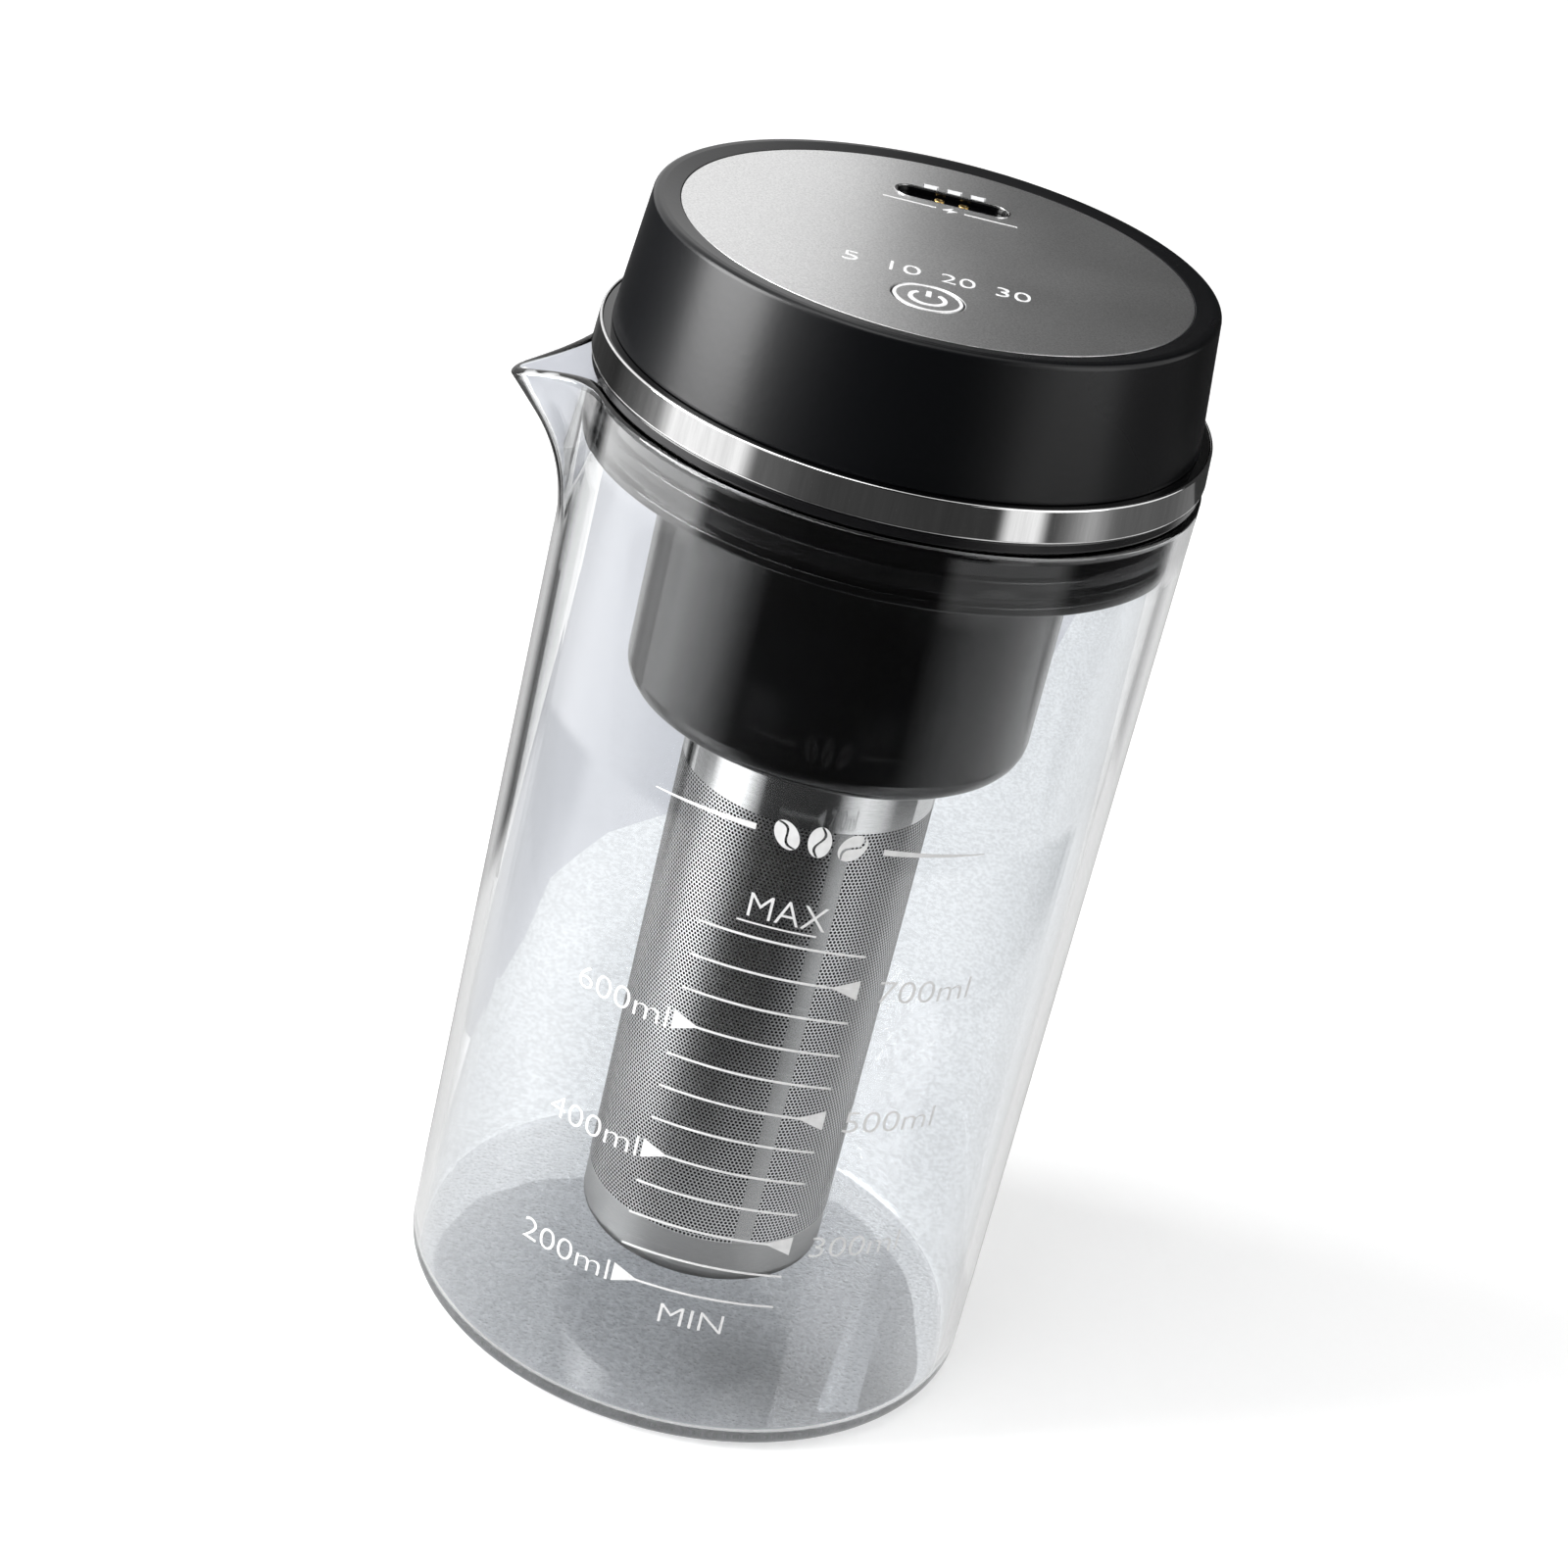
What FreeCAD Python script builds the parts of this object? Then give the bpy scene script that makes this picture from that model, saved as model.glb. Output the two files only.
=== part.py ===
import FreeCAD, Part
import Sketcher
import math
import operator
import os
from types import SimpleNamespace

# Rechargeable cold brew coffee maker: a glass carafe with a pulled pouring lip, a lid that holds
# the battery, board, motor and gear pair, and a mesh filter that the gear pair turns.
# Millimetres, +Z up, origin at the centre of the glass foot. -Y is the front, where the button is.

SIZES = {
    # glass carafe
    "glass_radius": 52.0,
    "glass_wall": 2.2,
    "glass_floor": 2.2,
    "glass_height": 175.5,
    "foot_round": 3.0,
    "bore_round": 1.8,
    # pulled pouring lip, on the glass
    "lip_azimuth": 187.0,
    "lip_length": 12.4,
    "lip_drop": 4.8,
    "lip_slope": 41.4,
    "lip_bend": 28.0,
    "lip_nose": 2.85,
    "lip_blend": 24.0,
    "lip_level_run": 1.5,
    # clearances
    "rim_gap": 0.3,
    "bore_gap": 0.35,
    "fixed_fit": 0.02,
    "running_fit": 0.04,
    "button_gap": 0.3,
    "panel_gap": 0.1,
    "hub_gap": 0.4,
    "screw_fit": 0.05,
    # rim gasket and steel band
    "gasket_thickness": 2.0,
    "gasket_inset": 0.4,
    "band_height": 5.7,
    "band_inset": 0.1,
    "band_taper": 0.4,
    "band_thickness": 0.45,
    "band_lip": 0.5,
    # lid base: flange, plug skirt and floor
    "flange_step": 0.2,
    "skirt_inset": 1.2,
    "skirt_wall": 2.2,
    "skirt_depth": 11.3,
    "plug_floor": 2.5,
    "plug_foot_height": 1.8,
    "plug_foot_round": 0.5,
    "seal_groove_depth": 1.2,
    "seal_height": 4.0,
    "seal_rise": 0.9,
    "register_height": 3.0,
    "register_gap": 0.15,
    # lid shell and panel
    "shell_inset": 1.55,
    "shell_taper": 2.5,
    "shell_height": 22.4,
    "shell_wall": 2.0,
    "shell_round": 0.8,
    "border_width": 2.8,
    "border_rise": 0.4,
    "shell_plate": 1.6,
    "panel_inset": 4.4,
    "panel_thickness": 1.5,
    "panel_round": 0.2,
    # power button and its switch
    "button_radius": 5.7,
    "button_edge": 17.4,
    "button_flange": 1.2,
    "button_flange_height": 0.8,
    "plunger_radius": 1.7,
    "switch_width": 6.0,
    "switch_height": 3.3,
    "plunger_depth": 0.9,
    "switch_bore_depth": 1.8,
    # timer lights
    "timer_pitch": 8.85,
    "timer_gap": 11.2,
    "timer_light_length": 1.6,
    "timer_light_width": 0.9,
    "timer_light_height": 0.7,
    "light_well_radius": 1.2,
    # charging socket
    "port_side": 0.4,
    "port_edge": 17.1,
    "port_length": 19.6,
    "port_width": 6.0,
    "port_wall": 0.5,
    "port_recess": 2.1,
    "port_depth": 4.6,
    "port_flange": 1.4,
    "port_flange_edge": 0.5,
    "contact_pitch": 4.2,
    "contact_radius": 0.9,
    "contact_stem_radius": 0.5,
    "contact_rise": 0.3,
    "magnet_radius": 1.5,
    "magnet_height": 1.8,
    "magnet_pitch": 11.6,
    # three light pipes behind the socket
    "pipe_pitch": 4.1,
    "pipe_length": 2.3,
    "pipe_width": 1.9,
    "pipe_gap": 4.6,
    # circuit board
    "board_inset": 3.4,
    "board_thickness": 1.6,
    "board_drop": 5.6,
    "board_post_inset": 2.8,
    "board_post_radius": 2.4,
    "board_post_angle": 45.0,
    "chip_width": 6.0,
    "chip_height": 1.2,
    "chip_side": 22.0,
    # screws
    "screw_radius": 1.2,
    "screw_head_radius": 2.3,
    "screw_head_height": 1.6,
    "screw_bite": 4.2,
    "screw_end_gap": 0.4,
    # motor cup
    "cup_inset": 11.1,
    "cup_wall": 2.2,
    "cup_floor": 2.5,
    "cup_depth": 42.9,
    "cup_round": 4.0,
    "cup_hole_gap": 0.15,
    "cup_flange_width": 5.9,
    "cup_flange_height": 2.0,
    "cup_gasket_thickness": 0.8,
    "cup_gasket_inset": 0.4,
    "cup_boss_radius": 6.5,
    "cup_boss_height": 6.2,
    # chassis, battery
    "chassis_plate": 2.0,
    "chassis_gap": 0.5,
    "chassis_boss_inset": 2.8,
    "chassis_boss_radius": 2.3,
    "chassis_window_side": 4.8,
    "chassis_window_end": 4.3,
    "cell_radius": 9.1,
    "cell_length": 65.0,
    "cell_back": 14.0,
    "cell_lift": 0.4,
    "cell_gap": 0.2,
    "saddle_pitch": 44.0,
    "saddle_thickness": 3.0,
    "saddle_wall": 1.5,
    "tab_thickness": 0.3,
    "tab_width": 8.0,
    "end_stop_thickness": 1.5,
    # drive shaft, bushes, seal
    "shaft_radius": 2.5,
    "shaft_stand": 0.5,
    "bush_radius": 4.0,
    "bush_flange": 1.0,
    "seal_radius": 4.5,
    "seal_thickness": 2.6,
    "clip_thickness": 0.8,
    "clip_radius": 4.2,
    "clip_gap": 0.2,
    # gear pair
    "motor_gap": 0.8,
    "driven_teeth": 48,
    "pinion_teeth": 12,
    "gear_width": 4.0,
    "gear_lift": 4.0,
    "gear_hub_radius": 5.0,
    "gear_hub_step": 1.2,
    "pinion_extra": 0.6,
    "pressure_angle": 20.0,
    "backlash": 0.12,
    "addendum": 0.9,
    # gear plate on its posts
    "plate_lift": 17.2,
    "plate_thickness": 2.0,
    "plate_inset": 2.1,
    "post_inset": 6.1,
    "post_radius": 3.0,
    "post_angle": 90.0,
    # motor
    "motor_radius": 12.2,
    "motor_length": 28.5,
    "motor_wall": 1.0,
    "motor_nose_radius": 3.1,
    "motor_nose_length": 1.5,
    "motor_shaft_radius": 1.0,
    "motor_screw_pitch": 17.0,
    "motor_round": 1.0,
    "magnet_arc_thickness": 1.8,
    "magnet_arc_lift": 3.0,
    "magnet_arc_length": 18.0,
    "magnet_arc_angle": 130.0,
    "armature_gap": 0.4,
    "armature_length": 16.0,
    "armature_slot": 2.0,
    "armature_slots": 3,
    "armature_core": 3.0,
    "end_cap_height": 1.6,
    "end_boss_radius": 3.0,
    "end_boss_height": 2.0,
    # drive hub under the cup
    "hub_drop": 0.7,
    "hub_height": 8.2,
    "hub_rim_wall": 2.0,
    "hub_web": 2.0,
    "hub_core_radius": 6.0,
    "grip_lift": 1.6,
    "grip_height": 2.2,
    "grip_stand": 0.1,
    "grip_depth": 0.8,
    "key_count": 3,
    "key_width": 4.0,
    "key_root": 0.5,
    "key_inset": 0.1,
    "key_height": 2.4,
    "hub_screw_head_height": 1.5,
    "hub_screw_head_radius": 4.0,
    # filter
    "filter_radius": 22.4,
    "filter_lift": 11.6,
    "filter_foot_round": 2.8,
    "filter_floor": 0.8,
    "collar_wall": 0.8,
    "collar_drop": 0.9,
    "mesh_wall": 0.5,
    "filter_foot_height": 9.5,
    "collar_height": 11.7,
}

TOUCH = 1e-4
FULL_TURN = 360.0
# How fast the lip's nose and blends widen below its tip, as powers of the share drawn out.
NOSE_SPREAD = 0.7
BLEND_SPREAD = 0.25
SHARPEST_NOSE = 0.6


class Size:
    """A value of the sheet, or one worked out from such values, with the expression that gives it."""

    def __init__(self, value, text):
        self.value = value
        self.text = text

    def __add__(self, other):
        return combined(self, "+", other)

    def __radd__(self, other):
        return combined(other, "+", self)

    def __sub__(self, other):
        return combined(self, "-", other)

    def __rsub__(self, other):
        return combined(other, "-", self)

    def __mul__(self, other):
        return combined(self, "*", other)

    def __rmul__(self, other):
        return combined(other, "*", self)

    def __truediv__(self, other):
        return combined(self, "/", other)

    def __pow__(self, other):
        return combined(self, "^", other)

    def __neg__(self):
        return combined(0.0, "-", self)


OPERATIONS = {
    "+": operator.add,
    "-": operator.sub,
    "*": operator.mul,
    "/": operator.truediv,
    "^": operator.pow,
}


def as_size(number):
    if isinstance(number, Size):
        return number
    return Size(float(number), "%.6f" % number if number >= 0 else "(%.6f)" % number)


def combined(left, sign, right):
    left = as_size(left)
    right = as_size(right)
    value = OPERATIONS[sign](left.value, right.value)
    return Size(value, "(%s %s %s)" % (left.text, sign, right.text))


def sine(angle):
    angle = as_size(angle)
    return Size(math.sin(math.radians(angle.value)), "sin(%s)" % angle.text)


def cosine(angle):
    angle = as_size(angle)
    return Size(math.cos(math.radians(angle.value)), "cos(%s)" % angle.text)


doc = FreeCAD.newDocument("ColdBrewMaker")
sheet = doc.addObject("Spreadsheet::Sheet", "Sizes")
for row, (alias, number) in enumerate(SIZES.items(), 1):
    sheet.set("A%d" % row, alias)
    sheet.set("B%d" % row, str(number))
    sheet.setAlias("B%d" % row, alias)
doc.recompute()
dim = SimpleNamespace(**{alias: Size(number, "Sizes." + alias) for alias, number in SIZES.items()})

# Heights that several pieces share: the rim of the glass sets the lid above it and the plug below.
level = SimpleNamespace()
level.gasket_foot = dim.glass_height + dim.rim_gap
level.band_foot = level.gasket_foot + dim.gasket_thickness
level.flange_foot = level.band_foot + dim.band_lip
level.band_top = level.band_foot + dim.band_height
level.flange_top = level.band_top - dim.flange_step
level.shell_top = level.flange_top + dim.shell_height
level.panel_top = level.shell_top - dim.border_rise
level.plate_top = level.panel_top - dim.panel_thickness
level.plate_foot = level.plate_top - dim.shell_plate
level.board_top = level.plate_foot - dim.board_drop
level.board_foot = level.board_top - dim.board_thickness
level.button_flange_top = level.plate_top - dim.button_gap
level.button_foot = level.button_flange_top - dim.button_flange_height
level.port_foot = level.panel_top - dim.port_depth
level.port_floor = level.panel_top - dim.port_recess
level.plug_foot = dim.glass_height - dim.skirt_depth
level.plug_floor = level.plug_foot + dim.plug_floor
level.groove_foot = level.plug_foot + dim.plug_foot_height + dim.seal_rise
level.groove_top = level.groove_foot + dim.seal_height
level.cup_flange_foot = level.plug_floor + dim.cup_gasket_thickness
level.cup_flange_top = level.cup_flange_foot + dim.cup_flange_height
level.chassis_top = level.cup_flange_top + dim.chassis_plate
level.cell_axis = level.chassis_top + dim.cell_lift + dim.cell_radius
level.cup_bottom = level.plug_foot - dim.cup_depth
level.cup_floor = level.cup_bottom + dim.cup_floor
level.seal_top = level.cup_bottom + dim.seal_thickness
level.boss_top = level.cup_floor + dim.cup_boss_height
level.gear_foot = level.boss_top + dim.gear_lift
level.gear_plate_foot = level.cup_floor + dim.plate_lift
level.gear_plate_top = level.gear_plate_foot + dim.plate_thickness
level.bush_top = level.gear_plate_top + dim.bush_flange
level.clip_foot = level.bush_top + dim.clip_gap
level.motor_front_wall = level.gear_plate_top + dim.motor_wall
level.motor_top = level.gear_plate_top + dim.motor_length
level.end_cap_top = level.motor_top + dim.end_cap_height
level.end_boss_top = level.end_cap_top + dim.end_boss_height
level.hub_top = level.cup_bottom - dim.hub_drop
level.hub_foot = level.hub_top - dim.hub_height
level.grip_foot = level.hub_foot + dim.grip_lift
level.collar_top = level.cup_bottom - dim.collar_drop
level.mesh_top = level.collar_top - dim.collar_height
level.filter_bottom = dim.glass_floor + dim.filter_lift
level.mesh_bottom = level.filter_bottom + dim.filter_foot_height

# Radii and places that several pieces share: the glass sets the lid's radii, the lid those inside it.
glass_bore = dim.glass_radius - dim.glass_wall
lip_reach = dim.glass_radius + dim.lip_length
skirt_radius = glass_bore - dim.skirt_inset
skirt_bore = skirt_radius - dim.skirt_wall
plug_radius = glass_bore - dim.bore_gap
seal_groove = skirt_radius - dim.seal_groove_depth
band_foot_radius = dim.glass_radius - dim.band_inset
band_top_radius = band_foot_radius - dim.band_taper
band_bore = band_top_radius - dim.band_thickness
shell_foot_radius = band_bore - dim.shell_inset
shell_top_radius = shell_foot_radius - dim.shell_taper
register_radius = shell_foot_radius - dim.shell_wall - dim.register_gap
panel_radius = shell_top_radius - dim.panel_inset
button_front = panel_radius - dim.button_edge
timer_front = button_front - dim.timer_gap
port_back = panel_radius - dim.port_edge
board_radius = skirt_bore - dim.board_inset
board_post_circle = board_radius - dim.board_post_inset
chassis_boss_circle = skirt_bore - dim.chassis_boss_inset
cup_radius = skirt_bore - dim.cup_inset
cup_hole = cup_radius + dim.cup_hole_gap
cup_bore = cup_radius - dim.cup_wall
plate_radius = cup_bore - dim.plate_inset
post_circle = cup_bore - dim.post_inset
gear_centres = dim.motor_radius + dim.motor_gap + dim.bush_radius + dim.bush_flange
gear_module = gear_centres * 2 / (dim.driven_teeth + dim.pinion_teeth)
motor_front = -gear_centres
collar_bore = dim.filter_radius - dim.collar_wall
hub_radius = collar_bore - dim.hub_gap
port_cut_length = dim.port_length + dim.panel_gap * 2
port_cut_width = dim.port_width + dim.panel_gap * 2
pipe_back = port_back + dim.pipe_gap
cell_end = dim.cell_length / 2 + dim.tab_thickness + dim.cell_gap


def on_circle(radius, angle):
    return radius * cosine(angle), radius * sine(angle)


def spread(count, turn):
    """Angles of equally spaced places on a circle."""
    return [turn + FULL_TURN / count * number for number in range(count)]


chassis_screw_places = [on_circle(chassis_boss_circle, angle) for angle in spread(4, 0.0)]
board_screw_places = [on_circle(board_post_circle, angle) for angle in spread(4, dim.board_post_angle)]
plate_screw_places = [on_circle(post_circle, angle) for angle in spread(3, dim.post_angle)]
motor_screw_places = [(dim.motor_screw_pitch / 2 * side, motor_front) for side in (-1, 1)]
timer_places = [dim.timer_pitch * step for step in (-1.5, -0.5, 0.5, 1.5)]
contact_places = [dim.port_side + dim.contact_pitch / 2 * side for side in (-1, 1)]
magnet_places = [dim.port_side + dim.magnet_pitch / 2 * side for side in (-1, 1)]
pipe_places = [dim.port_side + dim.pipe_pitch * step for step in (-1, 0, 1)]

nodes = {}


# ---------------------------------------------------------------- helpers for bodies and sketches


def bind(thing, path, value):
    thing.setExpression(path, as_size(value).text)


def new_body(label, y=None):
    body = doc.addObject("PartDesign::Body", "Body_" + label)
    body.Label = label
    if y is not None:
        bind(body, "Placement.Base.y", y)
    nodes[label] = body
    return body


def new_sketch(body, plane, height=None):
    """A sketch on one of the body's own planes, or raised off it."""
    sketch = body.newObject("Sketcher::SketchObject", body.Label + "_sketch")
    planes = {feature.Role: feature for feature in body.Origin.OriginFeatures}
    sketch.AttachmentSupport = [(planes[plane], "")]
    sketch.MapMode = "FlatFace"
    if height is not None:
        bind(sketch, "AttachmentOffset.Base.z", height)
    return sketch


def constrain(sketch, value, kind, *places):
    """Adds a constraint whose value follows the sheet."""
    value = as_size(value)
    number = sketch.addConstraint(Sketcher.Constraint(kind, *places, value.value))
    bind(sketch, "Constraints[%d]" % number, value)


def constrain_together(sketch, free, driven):
    """Adds constraints in one go, so that the sketch is solved only once it is fully held."""
    constraints = [Sketcher.Constraint(*entry) for entry in free]
    constraints += [Sketcher.Constraint(*entry[1:], entry[0].value) for entry in driven]
    numbers = sketch.addConstraint(constraints)
    for number, entry in zip(numbers[len(free) :], driven):
        bind(sketch, "Constraints[%d]" % number, entry[0])


def pin_point(sketch, geometry, point, x, y):
    """Holds a point at x and y from the sketch's origin; a plain 0 puts it on the axis."""
    if isinstance(x, Size):
        constrain(sketch, x, "DistanceX", -1, 1, geometry, point)
    else:
        sketch.addConstraint(Sketcher.Constraint("PointOnObject", geometry, point, -2))
    if isinstance(y, Size):
        constrain(sketch, y, "DistanceY", -1, 1, geometry, point)
    else:
        sketch.addConstraint(Sketcher.Constraint("PointOnObject", geometry, point, -1))


def add_outline(sketch, corners):
    """A closed outline of straight edges through the corners."""
    points = [FreeCAD.Vector(as_size(x).value, as_size(y).value, 0) for x, y in corners]
    first = sketch.GeometryCount
    count = len(points)
    for number, start in enumerate(points):
        sketch.addGeometry(Part.LineSegment(start, points[(number + 1) % count]))
    for number in range(count):
        following = first + (number + 1) % count
        sketch.addConstraint(Sketcher.Constraint("Coincident", first + number, 2, following, 1))
    for number, (x, y) in enumerate(corners):
        pin_point(sketch, first + number, 1, x, y)


def add_circle(sketch, x, y, radius):
    centre = FreeCAD.Vector(as_size(x).value, as_size(y).value, 0)
    circle = Part.Circle(centre, FreeCAD.Vector(0, 0, 1), as_size(radius).value)
    number = sketch.addGeometry(circle)
    pin_point(sketch, number, 3, x, y)
    constrain(sketch, radius, "Radius", number)


def add_rectangle(sketch, x, y, length, width):
    left = x - length / 2
    right = x + length / 2
    front = y - width / 2
    back = y + width / 2
    add_outline(sketch, [(left, front), (right, front), (right, back), (left, back)])


def add_feature(body, kind, sketch):
    feature = body.newObject("PartDesign::" + kind, body.Label + "_" + kind)
    feature.Profile = sketch
    sketch.Visibility = False
    return feature


def pad(body, sketch, length):
    feature = add_feature(body, "Pad", sketch)
    bind(feature, "Length", length)
    return feature


def pocket(body, sketch, depth):
    """Cuts downwards from the sketch's plane."""
    before = volume_of(body)
    feature = add_feature(body, "Pocket", sketch)
    bind(feature, "Length", depth)
    doc.recompute()
    if volume_of(body) > before - TOUCH:
        raise RuntimeError("nothing cut from " + body.Label)
    return feature


def volume_of(body):
    doc.recompute()
    return body.Shape.Volume


def turned(label, corners, y=None, rounds=()):
    """A body turned about its upright axis from an outline of radii and heights."""
    body = new_body(label, y)
    sketch = new_sketch(body, "XZ_Plane")
    add_outline(sketch, corners)
    feature = add_feature(body, "Revolution", sketch)
    feature.ReferenceAxis = (sketch, ["V_Axis"])
    feature.Angle = FULL_TURN
    for radius, height, rounding in rounds:
        round_ring(body, radius, height, rounding)
    return body


def ring(label, inner, outer, foot, top):
    turned(label, [(inner, foot), (outer, foot), (outer, top), (inner, top)])


def on_ring(edge, radius, height):
    curve = edge.Curve
    if not isinstance(curve, Part.Circle) or abs(curve.Radius - radius) > TOUCH:
        return False
    return abs(curve.Center.z - height) < TOUCH


def round_ring(body, radius, height, rounding):
    """Rounds the circular edge at one radius and height of a turned body."""
    doc.recompute()
    radius = as_size(radius).value
    height = as_size(height).value
    edges = enumerate(body.Tip.Shape.Edges, 1)
    names = ["Edge%d" % number for number, edge in edges if on_ring(edge, radius, height)]
    if not names:
        raise RuntimeError("no edge to round on " + body.Label)
    base = body.Tip
    feature = body.newObject("PartDesign::Fillet", body.Label + "_Fillet")
    feature.Base = (base, names)
    bind(feature, "Radius", rounding)


def polar_pattern(body, feature, sketch, count):
    pattern = body.newObject("PartDesign::PolarPattern", body.Label + "_Pattern")
    pattern.Originals = [feature]
    pattern.Axis = (sketch, ["N_Axis"])
    pattern.Angle = FULL_TURN
    bind(pattern, "Occurrences", count)
    body.Tip = pattern
    return pattern


# ---------------------------------------------------------------- helpers for primitives


def place(thing, x=None, y=None, z=None):
    for axis, value in (("x", x), ("y", y), ("z", z)):
        if value is not None:
            bind(thing, "Placement.Base." + axis, value)


def cylinder(radius, low, high, x=None, y=None):
    thing = doc.addObject("Part::Cylinder", "Cylinder")
    bind(thing, "Radius", radius)
    bind(thing, "Height", high - low)
    place(thing, x, y, low)
    return thing


def lying_cylinder(radius, length, y, z):
    """A cylinder along X, centred on X = 0."""
    thing = doc.addObject("Part::Cylinder", "Cylinder")
    thing.Placement.Rotation = FreeCAD.Rotation(FreeCAD.Vector(0, 1, 0), 90)
    bind(thing, "Radius", radius)
    bind(thing, "Height", length)
    place(thing, -length / 2, y, z)
    return thing


def box(x_range, y_range, z_range):
    thing = doc.addObject("Part::Box", "Box")
    bind(thing, "Length", x_range[1] - x_range[0])
    bind(thing, "Width", y_range[1] - y_range[0])
    bind(thing, "Height", z_range[1] - z_range[0])
    place(thing, x_range[0], y_range[0], z_range[0])
    return thing


def cut(base, tool):
    thing = doc.addObject("Part::Cut", "Cut")
    thing.Base = base
    thing.Tool = tool
    return thing


def fuse(things):
    thing = doc.addObject("Part::MultiFuse", "Fuse")
    thing.Shapes = things
    return thing


def named(label, thing):
    thing.Label = label
    nodes[label] = thing
    return thing


def group(label, things):
    """Separate solids of one kind that share a node."""
    compound = doc.addObject("Part::Compound", "Group")
    compound.Links = things
    return named(label, compound)


def screw(head_foot, shank_foot, x, y, head_up=True):
    """A screw with its head above head_foot, or below it where head_up is False."""
    if head_up:
        head = cylinder(dim.screw_head_radius, head_foot, head_foot + dim.screw_head_height, x, y)
        shank = cylinder(dim.screw_radius, shank_foot, head_foot, x, y)
    else:
        head = cylinder(dim.screw_head_radius, head_foot - dim.screw_head_height, head_foot, x, y)
        shank = cylinder(dim.screw_radius, head_foot, shank_foot, x, y)
    return fuse([head, shank])


# ---------------------------------------------------------------- glass carafe


def lip_stations():
    """Height and reach of the lip's keel: round the bend out of the wall, then up a straight slope."""
    slope = math.radians(dim.lip_slope.value)
    bend = dim.lip_bend.value
    radius = dim.glass_radius.value
    bend_rise = bend * math.sin(slope)
    bend_run = bend * (1 - math.cos(slope))
    run = lip_reach.value - radius - bend_run
    rise = run / math.tan(slope)
    start = dim.glass_height.value - dim.lip_drop.value - rise - bend_rise
    stations = []
    for share in (0.25, 0.5, 0.75, 1.0):
        angle = slope * share
        stations.append((start + bend * math.sin(angle), radius + bend * (1 - math.cos(angle))))
    for share in (0.5, 1.0):
        stations.append((start + bend_rise + rise * share, radius + bend_run + run * share))
    over_tip = dim.lip_drop.value * math.tan(slope)
    stations.append((dim.glass_height.value, lip_reach.value + over_tip))
    return start, stations


def lip_wire(wall_radius, reach, nose, blend, height):
    """The wall's circle drawn out to a rounded nose through two hollow blends, all tangent."""
    near = reach - nose
    far = wall_radius + blend
    out = math.acos((near**2 + far**2 - (nose + blend) ** 2) / (2 * near * far))
    centre = (far * math.cos(out), far * math.sin(out))
    wall_point = (wall_radius * math.cos(out), wall_radius * math.sin(out))
    joint = towards((near, 0), centre, nose)
    hollow = towards(centre, ((joint[0] + wall_point[0]) / 2, (joint[1] + wall_point[1]) / 2), blend)
    outline = [wall_point, (-wall_radius, 0), mirrored(wall_point), mirrored(hollow), mirrored(joint)]
    outline += [(reach, 0), joint, hollow, wall_point]
    return arc_wire(outline, height)


def round_wire(radius, height):
    """The plain round wall below the lip, split as the lip's arcs are."""
    corners = [
        (radius * math.cos(math.radians(angle)), radius * math.sin(math.radians(angle)))
        for angle in (14, 180, -14, -10, -6, 0, 6, 10, 14)
    ]
    return arc_wire(corners, height)


def towards(start, end, length):
    """The point at a length from start in the direction of end."""
    run = math.hypot(end[0] - start[0], end[1] - start[1])
    return (
        start[0] + (end[0] - start[0]) / run * length,
        start[1] + (end[1] - start[1]) / run * length,
    )


def mirrored(point):
    return (point[0], -point[1])


def arc_wire(outline, height):
    """Arcs through each end, middle and next end of an outline drawn along the lip's direction."""
    points = [FreeCAD.Vector(x, y, height) for x, y in outline]
    arcs = [Part.Arc(*points[first : first + 3]).toShape() for first in range(0, len(points) - 2, 2)]
    return Part.Wire(arcs)


def drawn_wall(inset, below, above):
    """The round wall that draws out into the lip, as a solid inset from the glass's outside."""
    start, stations = lip_stations()
    bulge_at_tip = lip_reach.value - dim.glass_radius.value
    wall_radius = dim.glass_radius.value - inset
    wires = [round_wire(wall_radius, start - below)]
    for height, reach in stations:
        bulge = (reach - dim.glass_radius.value) / bulge_at_tip
        nose = max(dim.lip_nose.value / bulge**NOSE_SPREAD - inset, SHARPEST_NOSE)
        blend = dim.lip_blend.value / bulge**BLEND_SPREAD + inset
        wires.append(lip_wire(wall_radius, reach - inset, nose, blend, height))
    if above:
        wires.append(lip_wire(wall_radius, reach - inset, nose, blend, height + above))
    loft = Part.makeLoft(wires, True, False)
    return loft.fuse(Part.makeCylinder(wall_radius, start - below))


def slope_cutter():
    """What lies above the lip's edge, which falls from the level rim to the tip."""
    inner = dim.glass_radius.value - dim.lip_level_run.value
    outer = lip_reach.value + dim.lip_drop.value
    fall = dim.lip_drop.value / (lip_reach.value - inner)
    rim = dim.glass_height.value
    corners = [
        (inner, rim),
        (outer, rim - fall * (outer - inner)),
        (outer, rim + outer - inner),
        (inner, rim + outer - inner),
    ]
    width = dim.glass_radius.value
    points = [FreeCAD.Vector(x, -width, z) for x, z in corners]
    face = Part.Face(Part.makePolygon(points + points[:1]))
    return face.extrude(FreeCAD.Vector(0, 2 * width, 0))


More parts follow.
